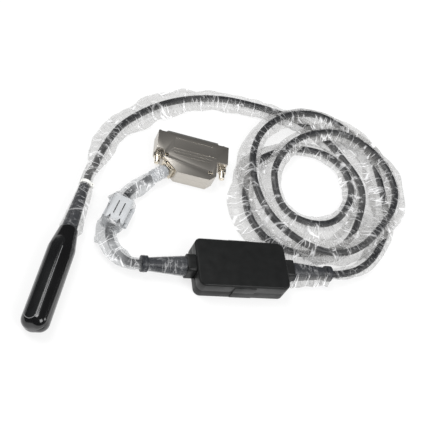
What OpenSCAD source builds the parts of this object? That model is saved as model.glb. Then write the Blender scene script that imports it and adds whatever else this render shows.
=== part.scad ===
// Linear ultrasound probe on a long screened cable, with its in-line adapter box,
// a clamp-on ferrite and a 37-way plug, all lying on the plane z = 0.
// The origin is the middle of the box's underside. X runs along the box.

/* [Probe] */
// Length of the probe's body from shoulder to tip
probe_l = 98; // [92:1:106]
// Width of the probe's body
probe_w = 22.5; // [21.5:0.5:25]
// Height of the probe's body, square to the window
probe_h = 20; // [19:0.5:22]
// Radius of the probe's long edges and of its nose
probe_edge_r = 8.5; // [8:0.25:9]
// Wall of the probe's shells
probe_wall = 2; // [1.6:0.1:2.2]
// Length over which the body narrows towards the cable
shoulder_l = 21; // [18:1:24]
// Width of the body at its shoulder
shoulder_w = 16; // [15.5:0.5:18]
// Height of the body at its shoulder
shoulder_h = 15.5; // [15.5:0.5:17]
// Radius of the edges at the shoulder
shoulder_edge_r = 7; // [6.5:0.25:7.5]
// Angle by which the window leans over to the side
probe_roll = 35; // [20:5:45]

/* [Probe window] */
// Length of the rubber lens
lens_l = 80; // [76:1:80]
// Width of the rubber lens
lens_w = 12.5; // [11:0.5:13]
// Depth of the rubber lens below the crown of the body
lens_depth = 2.2; // [2:0.1:2.6]
// Height by which the lens stands proud of the shell
lens_proud = 0.3; // [0.2:0.05:0.5]
// Distance from the tip to the end of the lens
lens_inset = 5; // [4:0.5:8]
// Width of the matching layer and of the crystals
aperture_w = 8; // [7:0.5:8.5]
// Length of the row of crystals
aperture_l = 62; // [56:1:63]
// Thickness of the matching layer
matching_t = 0.5; // [0.4:0.1:0.7]
// Thickness of a crystal
crystal_t = 0.6; // [0.4:0.1:0.8]
// Number of crystals that are drawn
crystal_count = 32; // [16:1:48]
// Saw cut between two crystals
kerf = 0.3; // [0.2:0.05:0.4]
// Depth of the damping block behind the crystals
backing_depth = 4.5; // [3.5:0.5:5]

/* [Probe inside] */
// Width of the carrier under the damping block
carrier_w = 7; // [6:0.5:7]
// Thickness of the flexible circuit
flex_t = 0.3; // [0.2:0.05:0.4]
// Width of the flexible circuit's tail
flex_tail_w = 3; // [2:0.5:3.5]
// Length of the probe's circuit board
probe_board_l = 14; // [12:1:15]
// Width of the probe's circuit board
probe_board_w = 13; // [12:0.5:14]
// Thickness of every circuit board
board_t = 1; // [0.8:0.1:1.2]
// Length of the crimp ferrule on the cable
ferrule_l = 4; // [3:0.5:5]
// Wall of the crimp ferrule
ferrule_wall = 1; // [0.8:0.1:1.4]
// Length of the strain relief behind the shoulder
relief_l = 48; // [42:1:54]
// Radius of the strain relief where it leaves the body
relief_r = 6.6; // [6.2:0.1:7]
// Radius of the strain relief at its thin end
relief_tip_r = 4.4; // [4.3:0.1:4.8]
// Thickness of the flange that holds the strain relief in the body
relief_flange_t = 2; // [1.5:0.1:2.5]

/* [Cable] */
// Diameter of the screened cable
cable_d = 6.6; // [6.2:0.1:6.8]
// Diameter of one inner wire
wire_d = 0.9; // [0.7:0.1:1]
// Number of inner wires that are drawn at each cable end
wire_count = 5; // [3:1:5]
// Height of the cable's centre where it lies in the lower layer
layer_z = 4.5; // [4.3:0.1:5.5]
// Height from one layer of the coil to the next
layer_step = 9; // [8.6:0.1:10]

/* [Box] */
// Length of the box
box_l = 85; // [80:1:92]
// Width of the box
box_w = 46.5; // [44:0.5:50]
// Height of the box
box_h = 21; // [20:0.5:23]
// Radius of the box's upright corners
box_r = 6; // [5:0.5:6.5]
// Chamfer round the top and the bottom of the box
box_chamfer = 1.2; // [0.8:0.1:1.5]
// Wall of the box
box_wall = 2; // [1.6:0.1:2.4]
// Length of the raised bands on the long sides
band_l = 20; // [16:1:24]
// Height by which the bands stand out of the sides
band_proud = 1; // [0.6:0.1:1.4]

/* [Box inside] */
// Radius of the screw posts
post_r = 3.4; // [3.2:0.1:3.8]
// Height of the circuit board above the floor of the box
board_rise = 4; // [3:0.5:4.5]
// Room between each end of the circuit board and the wall
board_end_room = 5; // [4.5:0.5:7]
// Room between each side of the circuit board and the wall
board_side_room = 1.75; // [1:0.25:3]
// Length of the screening can
can_l = 26; // [22:1:30]
// Width of the screening can
can_w = 20; // [16:1:22]
// Height of the screening can
can_h = 4.5; // [3:0.5:6]
// Sheet of the screening can
can_sheet = 0.4; // [0.3:0.1:0.6]
// Length of a chip
chip_l = 7; // [5:0.5:8]
// Width of a chip
chip_w = 7; // [5:0.5:8]
// Height of a chip
chip_h = 1.5; // [1:0.1:2]
// Length of a cable header, along the box
header_l = 7; // [6:0.5:8]
// Width of a cable header, across the box
header_w = 14; // [12:0.5:16]
// Height of a cable header
header_h = 6; // [5:0.5:7]

/* [Screws] */
// Radius of a box screw's thread
box_screw_r = 1.25; // [1.1:0.05:1.4]
// Radius of a box screw's head
box_screw_head_r = 2.5; // [2.2:0.1:2.6]
// Height of a box screw's head
box_screw_head_h = 1.4; // [1.2:0.1:1.6]
// Reach of a box screw above its head
box_screw_l = 13; // [11:0.5:14]
// Depth of the sinking for a box screw's head
box_screw_sink = 2.2; // [2:0.1:2.5]
// Radius of a hood screw's thread
hood_screw_r = 1.2; // [1:0.05:1.3]
// Radius of a hood screw's head
hood_screw_head_r = 2; // [1.8:0.1:2.1]
// Height of a hood screw's head
hood_screw_head_h = 1.3; // [1.1:0.1:1.5]
// Width of a screwdriver slot
slot_w = 0.6; // [0.5:0.05:0.8]

/* [Glands and boots] */
// Side of the square gland outside the box
gland_side = 17.5; // [17.5:0.25:18]
// Radius of the gland's corners
gland_corner_r = 3.5; // [2:0.25:4]
// Length of the gland outside the box
gland_l = 8; // [6:0.5:10]
// Radius of the gland's neck in the wall of the box
gland_neck_r = 5.4; // [5:0.1:5.8]
// Radius of the gland's flange inside the box
gland_flange_r = 6.8; // [6.4:0.1:7]
// Thickness of the gland's flange
gland_flange_t = 1.8; // [1.4:0.1:2.2]
// Length of a boot without its end ring
boot_l = 34; // [30:1:38]
// Radius of a boot beside the gland
boot_r = 8.7; // [8:0.1:8.7]
// Radius of a boot beside its end ring
boot_tip_r = 5.5; // [5:0.1:6]
// Length of a boot's end ring
ring_l = 5.5; // [4:0.5:7]
// Radius of a boot's end ring
ring_r = 7.2; // [6.8:0.1:7.6]

/* [Ferrite] */
// Length of the ferrite's case
ferrite_l = 27; // [26:0.5:29]
// Width of the ferrite's case
ferrite_w = 18; // [17.6:0.2:19]
// Height of the ferrite's case
ferrite_h = 17; // [16.6:0.2:18]
// Radius of the ferrite case's long corners
ferrite_corner_r = 3; // [2:0.25:3.5]
// Wall of the ferrite's case
ferrite_wall = 1.8; // [1.5:0.1:2]
// Radius of the hinge knuckles
knuckle_r = 1.9; // [1.8:0.05:2.1]
// Radius of the hinge pin
hinge_pin_r = 0.9; // [0.8:0.05:1]
// Length of the lid's knuckle
lid_knuckle_l = 14; // [12:0.5:16]
// Length of each slot in the ferrite's lid
lid_slot_l = 14.5; // [12:0.5:16]
// Width of each slot in the ferrite's lid
lid_slot_w = 1; // [0.8:0.1:1.4]
// Distance between the slots in the ferrite's lid
lid_slot_gap = 5.6; // [5:0.2:7]
// Width of a three-cornered opening at the lid's end
lid_vent_w = 4; // [3:0.5:5]
// Length of such an opening
lid_vent_l = 4; // [3:0.5:5]
// Distance between the middles of the two openings
lid_vent_gap = 9.2; // [8:0.2:10]
// Width of a latch tongue on the ferrite's lid
tongue_w = 7; // [6:0.5:8]
// Thickness of a latch tongue
tongue_t = 1.1; // [0.9:0.1:1.3]
// Reach of a latch tongue below the parting line
tongue_reach = 5; // [4:0.5:6]

/* [Hood] */
// Width of the hood over its ears
hood_w = 69.5; // [69.2:0.1:71]
// Depth of the hood from its mating edge to its back
hood_depth = 43.4; // [42:0.2:46]
// Thickness of the hood
hood_h = 15.8; // [15.4:0.1:17]
// Wall of the hood
hood_wall = 1.8; // [1.5:0.1:2]
// Depth of the ears that carry the jackscrews
ear_depth = 20.5; // [20:0.5:22]
// Distance from the middle to the hood's left side behind the ear
hood_left = 27.6; // [27:0.1:27.8]
// Distance from the middle to the hood's right side behind the ear
hood_right = 24; // [23:0.2:26]
// Leg of the corner that carries the cable entry
entry_leg = 14.4; // [14.2:0.1:15]
// Leg of the other back corner
corner_leg = 6; // [4:0.5:8]
// Height of the ribs on the hood
rib_h = 0.3; // [0.2:0.05:0.4]
// Width of the ribs on the hood
rib_w = 0.7; // [0.5:0.1:1]
// Radius of the posts round the hood screws
hood_post_r = 2.6; // [2.5:0.1:2.9]

/* [Connector] */
// Width of the connector's flange
flange_w = 69.3; // [69:0.1:69.4]
// Height of the connector's flange
flange_h = 12.5; // [12.2:0.1:12.7]
// Thickness of each of the connector's two flange plates
flange_t = 1; // [0.8:0.1:1.2]
// Width of the connector's shell on its wide side
shell_w = 55.4; // [55:0.1:55.8]
// Height of the connector's shell
shell_h = 8.4; // [8.2:0.1:8.6]
// Reach of the connector's shell in front of its flange
shell_reach = 5; // [4.6:0.1:6]
// Slant of the connector shell's short sides
shell_slant = 10; // [8:1:12]
// Radius of the connector shell's corners
shell_corner_r = 2.4; // [2:0.1:2.8]
// Sheet of the connector's shell
shell_sheet = 0.5; // [0.4:0.05:0.6]
// Depth of the connector behind its flange
connector_depth = 7; // [6:0.5:8]
// Pins in the longer row; the shorter row has one less
row_count = 19; // [15:1:19]
// Distance from one pin to the next in a row
pin_pitch = 2.76; // [2.7:0.01:2.78]
// Distance between the two rows of pins
row_pitch = 2.84; // [2.7:0.02:2.9]
// Radius of a pin
pin_r = 0.51; // [0.45:0.01:0.55]
// Radius of a pin's solder cup
cup_r = 0.8; // [0.7:0.05:0.9]
// Length of a pin's solder cup
cup_l = 3.5; // [3:0.5:4]

/* [Jackscrews] */
// Distance between the two jackscrews
screw_spacing = 63.5; // [63.3:0.1:63.7]
// Radius of a jackscrew's thread
thread_r = 1.42; // [1.38:0.01:1.46]
// Reach of the thread in front of the flange
thread_reach = 6; // [5:0.5:7]
// Radius of a jackscrew's shank
shank_r = 1.2; // [1.15:0.05:1.3]
// Radius of a jackscrew's knurled collar
collar_r = 3.6; // [3.4:0.05:3.65]
// Length of a jackscrew's knurled collar
collar_l = 6; // [5:0.5:7]
// Radius of the thumb piece behind the collar
thumb_r = 2.7; // [2.4:0.1:3]
// Length of the thumb piece
thumb_l = 6; // [5:0.5:7]
// Number of notches round the collar
notch_count = 10; // [8:1:12]
// Radius of a retaining clip
clip_r = 2.2; // [2.1:0.05:2.25]
// Thickness of a retaining clip
clip_t = 0.6; // [0.5:0.05:0.7]
// Travel of a jackscrew along its own axis
screw_travel = 2; // [1.5:0.25:2]

/* [Cable clamp] */
// Width of the clamp across the cable
clamp_w = 13.6; // [13.4:0.1:13.8]
// Height of the clamp, both halves together
clamp_h = 12; // [11:0.2:12]
// Reach of the clamp outside the hood
clamp_reach = 3.2; // [3:0.1:4]
// Depth of the clamp inside the hood
clamp_depth = 3; // [2.5:0.1:4]
// Radius of a clamp screw's thread
clamp_screw_r = 0.9; // [0.8:0.05:1]
// Radius of a clamp screw's head
clamp_screw_head_r = 1.5; // [1.3:0.1:1.6]
// Height of a clamp screw's head
clamp_screw_head_h = 1.1; // [0.9:0.1:1.3]

/* [Film and tie] */
// Thickness of the protective film sleeve
film_t = 0.3; // [0.25:0.05:0.35]
// Half of the width that the loose film takes beside the free cable
film_half_w = 12; // [8:1:13]
// Half of the width that the film takes beside the short cable
short_film_half_w = 9; // [6:1:9]
// Radius of the film cuff rolled up beside the plug
cuff_r = 6.8; // [6:0.1:6.9]
// Length of the film cuff
cuff_l = 19.5; // [16:0.5:20]
// Width of the cable tie's band
tie_w = 3; // [2.4:0.2:4]
// Thickness of the cable tie's band
tie_t = 0.8; // [0.7:0.1:1]
// Side of the cable tie's head
tie_head = 3.6; // [3.2:0.2:4.4]
// Distance from the strain relief to the cable tie
tie_gap = 1; // [0.6:0.2:3]

/* [Places] */
// Place of the probe's shoulder along X
probe_x = -150.2; // [-154:0.2:-148]
// Place of the probe's shoulder along Y
probe_y = 28.5; // [26:0.5:31]
// Turn of the probe, clockwise seen from above
probe_turn = 18.9; // [17.5:0.1:21]
// Place of the ferrite along X
ferrite_x = -106.6; // [-107:0.1:-106]
// Place of the ferrite along Y
ferrite_y = 50; // [49.5:0.5:50.5]
// Turn of the ferrite, clockwise seen from above
ferrite_turn = 26.5; // [25:0.5:28]
// Place of the middle of the plug's mating edge along X
plug_x = -27.8; // [-29:0.2:-26]
// Place of the middle of the plug's mating edge along Y
plug_y = 134.8; // [134:0.2:136]
// Turn of the plug, clockwise seen from above
plug_turn = 10.5; // [10:0.5:12]

/* [Hidden] */
$fn = 64;
// Overrun of every cut
over = 0.5;
// Gap beside pieces that are pushed together by hand
fit = 0.15;
// Gap beside parts that turn or slide
run = 0.3;
// Radial gap of a thread or pin that bears in its hole
bearing = 0.05;
// Facets of the rounded shells
form_fn = 28;
// Sides of the free cables, and of the coil and its film
lead_sides = 10;
coil_sides = 6;
// Points over which a film sleeve spreads to its full width, and those that it stays close to
film_ramp = 4;
film_close = 2;
up = [0, 0, 1];

cable_r = cable_d / 2;
bore_r = cable_r + fit;
film_in_r = cable_r + run;
film_r = film_in_r + film_t;

// Probe
nose_x = probe_w / 2 - probe_edge_r;
nose_z = probe_h / 2 - probe_edge_r;
probe_axis_z = nose_x * sin(probe_roll) + nose_z * cos(probe_roll) + probe_edge_r;
shoulder_disc = 1;
lens_bottom = probe_h / 2 - lens_depth;
aperture_y = lens_inset + lens_w / 2 + aperture_l / 2 - probe_l;
crystal_top = lens_bottom - matching_t;
backing_top = crystal_top - crystal_t;
backing_bottom = backing_top - backing_depth;
carrier_bottom = 2 * run - (probe_h / 2 - probe_wall);
carrier_windows = 5;
carrier_window_share = 0.6;
flange_back = -probe_wall - fit;
relief_flange_r = shoulder_h / 2 - probe_wall - 4 * fit;
relief_neck_r = relief_flange_r - shoulder_disc;
ferrule_y = flange_back - relief_flange_t - fit;
cable_end_y = ferrule_y - ferrule_l - shoulder_disc;
probe_board_y = cable_end_y - fit;
probe_board_top = -wire_d / 2;
board_post_l = probe_board_l / 3;
flex_x = aperture_w / 2 + fit;
wire_step = 1.3 * wire_d;

// Box
parting_z = box_h / 2;
post_x = box_l / 2 - box_wall - post_r - 2 * fit;
post_y = box_w / 2 - box_wall - post_r - 2 * fit;
board_bottom = box_wall + board_rise;
board_top = board_bottom + board_t;
board_post_r = box_wall;
box_board_l = box_l - 2 * box_wall - 2 * board_end_room;
box_board_w = box_w - 2 * box_wall - 2 * board_side_room;
board_post_shares = [[-0.3, -0.4], [-0.3, 0.4], [0.3, -0.4], [0.3, 0.4]];
chip_shares = [[-0.3, 0.28], [-0.3, -0.28], [0.3, 0.28], [0.3, -0.28]];
header_x = box_board_l / 2 - box_wall - header_l;
gland_end = box_l / 2 + gland_l;
boot_end = gland_end + boot_l + ring_l;
box_cable_end_x = box_l / 2 - box_wall - fit - gland_flange_t - fit;

// Ferrite, in its own frame: its cable runs along Y at z = 0
hinge_x = ferrite_w / 2 + knuckle_r + run;
knuckle_arm = knuckle_r + run + ferrite_wall / 2;
lid_gap = run / 2;
core_l = ferrite_l - 2 * ferrite_wall - 2 * fit;
core_w = ferrite_w - 2 * ferrite_wall - 2 * fit;
core_h = ferrite_h / 2 - ferrite_wall - fit;
core_bore_r = cable_r + run;
pocket_l = core_l + 2 * fit;
pocket_w = core_w + 2 * fit;
outer_knuckle_l = (ferrite_l - lid_knuckle_l) / 4;
outer_knuckle_y = lid_knuckle_l / 2 + run;
tongue_gap = 2 * run;
tongue_y = ferrite_l / 4;
nub_r = run;

// Plug, in its own frame: the mating edge is y = 0, the hood lies at y < 0
hood_mid = hood_h / 2;
screw_x = screw_spacing / 2;
flange_back_y = -2 * flange_t;
shell_lean = shell_h * tan(shell_slant);
ear_bore_r = thread_r + run;
clip_cavity_r = clip_r + run / 1.5;
ear_wall = 2.5;
clip_back = ear_wall - ear_depth;
clip_cavity_l = screw_travel + clip_t + 3 * run;
clip_y = clip_back + clip_cavity_l - run - clip_t;
groove_r = shank_r - fit;
groove_gap = run / 2;
ear_x = screw_x - clip_cavity_r - 2 * run;
entry_mid = [-hood_left + entry_leg / 2, -hood_depth + entry_leg / 2];
clamp_screw_y = cable_r + clamp_screw_r + 4 * fit;
clamp_screw_x = clamp_screw_head_r + bearing;
hood_screw_places = [
    [-hood_left + hood_post_r, -hood_depth + entry_leg + hood_post_r],
    [hood_right - corner_leg, -hood_depth + hood_wall + corner_leg + fit]
];
plug_wire_count = 12;
plug_wire_l = 14;
plug_cable_depth = 8;
rib_start_shares = [-0.26, -0.27, -0.27, -0.25];
rib_end_shares = [0.27, 0.33, 0.29, 0.23];
rib_place_shares = [0.09, 0.37, 0.45, 0.53];

// The coil: where its middle is, how far from there the cable runs at each eighth
// of a turn from the box onwards, and the layer that it is in there.
coil_mid = [100, 105];
coil_start_angle = -90;
coil_reaches = [
    104, 86, 75, 86, 80, 73, 71, 78, 84, 76, 84, 75, 53, 44, 47,
    52, 47, 39, 39, 41, 40, 48, 73, 94, 77, 55, 51, 51, 73, 111
];
coil_layer_shares = [
    0.6, 0, 0, 0, 1, 1, 1, 1, 1, 1, 1, 1, 1, 1, 0.5,
    0, 0, 0, 0, 0, 0, 0, 0, 0, 0, 0, 0, 0, 0, 0
];
// Film spread out under the coil: how far from the coil's middle its rim and its opening
// are at each eighth of a turn, from +X onwards.
film_rim_reaches = [101, 101, 92, 86, 88, 104, 93, 97];
film_opening_reaches = [30, 33, 34, 37, 41, 45, 39, 33];
coil_steps_a_turn = 24;
coil_first = 1 / 3;
coil_last = 28;
measure_step = 1 / 16;
// Points that lead from the boot into the coil
coil_entry_route = [[106, 1.5, 10], [116, 5, 8.5]];
// Points of the free cable from the coil to the probe's neck
probe_lead_route = [
    [84, 185, 4.5], [70, 189.5, 4.5], [52, 193.5, 4.5], [31, 196.5, 4.5], [17, 197.5, 4.5],
    [3, 197, 4.5], [-11, 195, 4.5], [-24, 192, 4.5], [-35, 188.5, 4.5], [-46, 184, 4.5],
    [-56, 179, 4.5], [-66, 173, 4.5], [-80, 163, 4.5], [-95, 149.5, 4.5], [-107, 133, 4.5],
    [-117, 114.5, 5.5], [-123, 100, 8.5]
];
// Points of the short cable from the box to the ferrite, and on to the plug
ferrite_lead_route = [
    [-102.5, 2.6, 10.2], [-107.8, 7.2, 9.8], [-111.6, 13.4, 9.4], [-114, 20.4, 9], [-115.4, 27.4, 8.7]
];
plug_lead_route = [[-94.2, 72.2, 8.5], [-88.2, 77.9, 8.5], [-81.4, 83.6, 8.2]];

// Route arithmetic

function unit(v) = v / norm(v);
function run_of(p, i) = unit(p[min(i + 1, len(p) - 1)] - p[max(i - 1, 0)]);
function turned(v, a) = [v.x * cos(a) - v.y * sin(a), v.x * sin(a) + v.y * cos(a)];
function at(xy, z) = [xy.x, xy.y, z];
function ease(f) = f * f * (3 - 2 * f);

// Smooth value between the entries of a table
function smooth_between(a, b, c, d, f) =
    b + (c - a) * f / 2 + (2 * a - 5 * b + 4 * c - d) * f * f / 2
    + (3 * b - a - 3 * c + d) * f * f * f / 2;
function smooth_entry(t, u) = let (i = min(floor(u), len(t) - 2))
    smooth_between(t[max(i - 1, 0)], t[i], t[i + 1], t[min(i + 2, len(t) - 1)], u - i);
function eased_entry(t, u) = let (i = min(floor(u), len(t) - 2))
    t[i] + (t[i + 1] - t[i]) * ease(u - i);

// Point of the coil after u eighths of a turn
function coil_point(u) = let (
        a = coil_start_angle + u * 360 / 8,
        r = smooth_entry(coil_reaches, u)
    )
    at(coil_mid + r * [cos(a), sin(a)], layer_z + layer_step * eased_entry(coil_layer_shares, u));
coil_stride = 8 / coil_steps_a_turn;
coil_turns = [for (u = [coil_first : coil_stride : coil_last + coil_stride / 2]) coil_point(min(u, coil_last))];
coil_out = unit(coil_point(coil_last) - coil_point(coil_last - measure_step));
coil_end = coil_point(coil_last) + cable_d * at(unit([coil_out.x, coil_out.y]), 0);
coil_route = concat(
    [[boot_end, 0, parting_z], [boot_end + cable_d, 0, parting_z]],
    coil_entry_route, coil_turns, [coil_end]
);

// Least distance between stretches of the coil that lie half a turn apart or more
coil_fine = [for (u = [coil_first : measure_step : coil_last]) coil_point(u)];
half_turn = 4 / measure_step;
coil_least_gap = min([
    for (i = [0 : len(coil_fine) - 1])
        for (j = [i + half_turn : 1 : len(coil_fine) - 1]) norm(coil_fine[i] - coil_fine[j])
]) - cable_d;
function length_of(p) = len(p) < 2 ? 0 : [for (i = [1 : len(p) - 1]) norm(p[i] - p[i - 1])] * [for (i = [1 : len(p) - 1]) 1];

// The neck of the probe points along the probe's own axis
neck_way = turned([0, 1], -probe_turn);
neck_end = at([probe_x, probe_y] + relief_l * neck_way, probe_axis_z);
tie_place = relief_l + tie_gap;
lead_straight = 2 * cable_d;
probe_route = concat(
    [coil_end, coil_end + cable_d * at(unit([coil_out.x, coil_out.y]), 0)],
    probe_lead_route,
    [neck_end + lead_straight * at(neck_way, 0), neck_end + lead_straight / 2 * at(neck_way, 0), neck_end]
);

// The short lead runs straight through the ferrite and into the plug's clamp
ferrite_way = turned([0, 1], -ferrite_turn);
ferrite_z = ferrite_h / 2;
entry_way = turned(unit([-1, -1]), -plug_turn);
entry_place = [plug_x, plug_y] + turned(entry_mid, -plug_turn);
function on_ferrite(t) = at([ferrite_x, ferrite_y] + t * ferrite_way, ferrite_z);
function on_entry(t) = at(entry_place + t * entry_way, hood_mid);
cuff_start = clamp_reach + 2 * fit;
short_route = concat(
    [[-boot_end, 0, parting_z], [-boot_end - cable_d, 0, parting_z]],
    ferrite_lead_route,
    [for (t = [-ferrite_l * 2 / 3, -ferrite_l / 2, 0, ferrite_l / 2, ferrite_l * 2 / 3]) on_ferrite(t)],
    plug_lead_route,
    [for (t = [cuff_start + cuff_l + 2 * run, cuff_start + cuff_l / 2, clamp_reach]) on_entry(t)]
);
short_first_film = [for (i = [0 : 6]) short_route[i]];
short_second_film = [for (i = [11 : 14]) short_route[i]];

echo(coil_least_gap = coil_least_gap);
echo(coil_length = length_of(coil_route), probe_lead_length = length_of(probe_route));
echo(short_lead_length = length_of(short_route));

// Tubes swept along a route, with triangles for faces

function ring_of(c, way, wide, high, n) = let (side = unit(cross(up, way)), top = cross(way, side))
    [for (k = [0 : n - 1]) c + wide * cos(360 * k / n) * side + high * sin(360 * k / n) * top];
function skin_points(p, r, n) = [for (i = [0 : len(p) - 1]) each ring_of(p[i], run_of(p, i), r, r, n)];
// A flat sleeve's rings, which are round at both ends and spread by more between them
function flat_points(p, r, more, close, n) = [
    for (i = [0 : len(p) - 1]) each ring_of(p[i], run_of(p, i), r + more * swell(i, len(p), close), r, n)
];
function swell(i, m, close) =
    ease(max(0, min(1, (min(i, m - 1 - i) - close) / min(film_ramp, floor((m - 1) / 2)))));
function skin_faces(m, n, first, outward) = [
    for (i = [0 : m - 2]) for (k = [0 : n - 1]) let (
        a = first + i * n + k, b = first + i * n + (k + 1) % n, c = a + n, d = b + n
    ) each outward ? [[a, b, d], [a, d, c]] : [[a, d, b], [a, c, d]]
];

// A solid tube along p
module cable_along(p, r, n) {
    m = len(p);
    polyhedron(
        points = skin_points(p, r, n),
        faces = concat(
            skin_faces(m, n, 0, true),
            [for (k = [1 : n - 2]) [0, k + 1, k]],
            [for (k = [1 : n - 2]) [(m - 1) * n, (m - 1) * n + k, (m - 1) * n + k + 1]]
        )
    );
}

// A sleeve along p with a bore. Past the first and last few points, close, it spreads sideways by more.
module sleeve_along(p, r, bore, more, close, n) {
    m = len(p);
    far = m * n;
    polyhedron(
        points = concat(flat_points(p, r, more, close, n), flat_points(p, bore, more, close, n)),
        faces = concat(
            skin_faces(m, n, 0, false),
            skin_faces(m, n, far, true),
            [for (k = [0 : n - 1]) let (a = k, b = (k + 1) % n) each [[a, b, far + b], [a, far + b, far + a]]],
            [for (k = [0 : n - 1]) let (a = (m - 1) * n + k, b = (m - 1) * n + (k + 1) % n)
                each [[a, far + b, b], [a, far + a, far + b]]]
        )
    );
}

// Shared shapes

module rounded_square(w, d, r) {
    square([w - 2 * r, d], center = true);
    square([w, d - 2 * r], center = true);
    for (x = [-1, 1], y = [-1, 1]) translate([x * (w / 2 - r), y * (d / 2 - r)]) circle(r);
}

// A plain tube from y = a to y = b round the Y axis
module bush(a, b, r, bore) {
    translate([0, a, 0]) rotate([-90, 0, 0]) difference() {
        cylinder(h = b - a, r = r);
        translate([0, 0, -over]) cylinder(h = b - a + 2 * over, r = bore);
    }
}

// A plain rod from y = a to y = b along the Y axis
module rod(a, b, r) {
    translate([0, a, 0]) rotate([-90, 0, 0]) cylinder(h = b - a, r = r);
}

// Side by side wires from y = a to y = b
module wire_row(a, b, count, step, r) {
    for (i = [0 : count - 1]) translate([(i - (count - 1) / 2) * step, 0, 0]) rod(a, b, r);
}

module at_neck() {
    translate([probe_x, probe_y, probe_axis_z]) rotate([0, 0, -probe_turn]) children();
}

module at_probe() {
    at_neck() rotate([0, -probe_roll, 0]) children();
}

module at_ferrite() {
    translate([ferrite_x, ferrite_y, ferrite_z]) rotate([0, 0, -ferrite_turn]) children();
}

module at_plug() {
    translate([plug_x, plug_y, 0]) rotate([0, 0, -plug_turn]) children();
}

// Frame of the cable entry: Y points out of the hood along the cable
module at_entry() {
    translate([entry_mid.x, entry_mid.y, hood_mid]) rotate([0, 0, 135]) children();
}

// Probe

// The probe's rounded body, made smaller all round by inset
module probe_form(inset) {
    r = probe_edge_r - inset;
    rs = shoulder_edge_r - inset;
    hull() {
        for (x = [-1, 1], z = [-1, 1]) {
            translate([x * nose_x, probe_edge_r - probe_l, z * nose_z]) sphere(r, $fn = form_fn);
            translate([x * nose_x, -shoulder_l, z * nose_z]) sphere(r, $fn = form_fn);
            translate([x * (shoulder_w / 2 - shoulder_edge_r), -max(inset, 0), z * (shoulder_h / 2 - shoulder_edge_r)])
                rotate([90, 0, 0]) cylinder(h = shoulder_disc, r = rs, $fn = form_fn);
        }
    }
}

// Outline of the window, wider all round by gap
module window_outline(gap) {
    r = lens_w / 2;
    for (y = [lens_inset + r, lens_inset + lens_l - r])
        translate([0, y - probe_l]) circle(r + gap);
    translate([-r - gap, lens_inset + r - probe_l]) square([lens_w + 2 * gap, lens_l - lens_w]);
}

module probe_half(side) {
    difference() {
        intersection() {
            probe_form(0);
            translate([-probe_w, -probe_l - over, side > 0 ? 0 : -probe_h])
                cube([2 * probe_w, probe_l + 2 * over, probe_h]);
        }
        probe_form(probe_wall);
        rod(-probe_wall - shoulder_disc, over, relief_neck_r + fit);
    }
}

module probe_upper_shell() {
    color([0.05, 0.05, 0.05]) at_probe() difference() {
        probe_half(1);
        translate([0, 0, probe_h / 4]) linear_extrude(height = probe_h) window_outline(fit);
    }
}

module probe_lower_shell() {
    color([0.06, 0.06, 0.06]) at_probe() {
        probe_half(-1);
        // Post under the circuit board
        translate([-probe_board_w / 4, probe_board_y - probe_board_l / 2 - board_post_l / 2, probe_wall / 2 - probe_h / 2])
            cube([probe_board_w / 2, board_post_l, probe_board_top - board_t + probe_h / 2 - probe_wall / 2]);
    }
}

module acoustic_lens() {
    color([0.09, 0.09, 0.1]) at_probe() intersection() {
        probe_form(-lens_proud);
        translate([0, 0, lens_bottom]) linear_extrude(height = probe_h / 2) window_outline(0);
    }
}

module matching_layer() {
    color([0.55, 0.5, 0.35]) at_probe()
        translate([-aperture_w / 2, aperture_y - aperture_l / 2, crystal_top])
            cube([aperture_w, aperture_l, matching_t]);
}

module crystal_array() {
    pitch = aperture_l / crystal_count;
    color([0.85, 0.8, 0.6]) at_probe() for (i = [0 : crystal_count - 1])
        translate([-aperture_w / 2, aperture_y - aperture_l / 2 + i * pitch + kerf / 2, backing_top])
            cube([aperture_w, pitch - kerf, crystal_t]);
}

module backing_block() {
    color([0.3, 0.3, 0.32]) at_probe()
        translate([-aperture_w / 2, aperture_y - aperture_l / 2, backing_bottom])
            cube([aperture_w, aperture_l, backing_depth]);
}

module array_carrier() {
    bay = aperture_l / carrier_windows;
    deep = backing_bottom - carrier_bottom;
    color([0.8, 0.8, 0.75]) at_probe() difference() {
        translate([-carrier_w / 2, aperture_y - aperture_l / 2, carrier_bottom])
            cube([carrier_w, aperture_l, deep]);
        for (i = [0 : carrier_windows - 1])
            translate([-carrier_w, aperture_y - aperture_l / 2 + (i + 0.5) * bay - bay * carrier_window_share / 2,
                carrier_bottom + deep / 4])
                cube([2 * carrier_w, bay * carrier_window_share, deep / 2]);
    }
}

module flex_circuit() {
    tail_top = probe_board_top - board_t;
    tail_end = probe_board_y - probe_board_l + board_post_l;
    start = aperture_y - aperture_l / 2;
    color([0.75, 0.45, 0.15]) at_probe() {
        translate([flex_x, start, tail_top - flex_t]) cube([flex_t, aperture_l, backing_top - tail_top + flex_t]);
        translate([flex_x, start, tail_top - flex_t]) cube([flex_tail_w, tail_end - start, flex_t]);
    }
}

module probe_board() {
    color([0.1, 0.4, 0.2]) at_probe()
        translate([-probe_board_w / 2, probe_board_y - probe_board_l, probe_board_top - board_t])
            cube([probe_board_w, probe_board_l, board_t]);
}

module probe_wires() {
    color([0.8, 0.3, 0.3]) at_probe()
        wire_row(probe_board_y - probe_board_l / 2, cable_end_y, wire_count, wire_step, wire_d / 2);
}

module probe_ferrule() {
    color([0.75, 0.75, 0.78]) at_probe() bush(ferrule_y - ferrule_l, ferrule_y, bore_r + ferrule_wall, bore_r);
}

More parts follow.
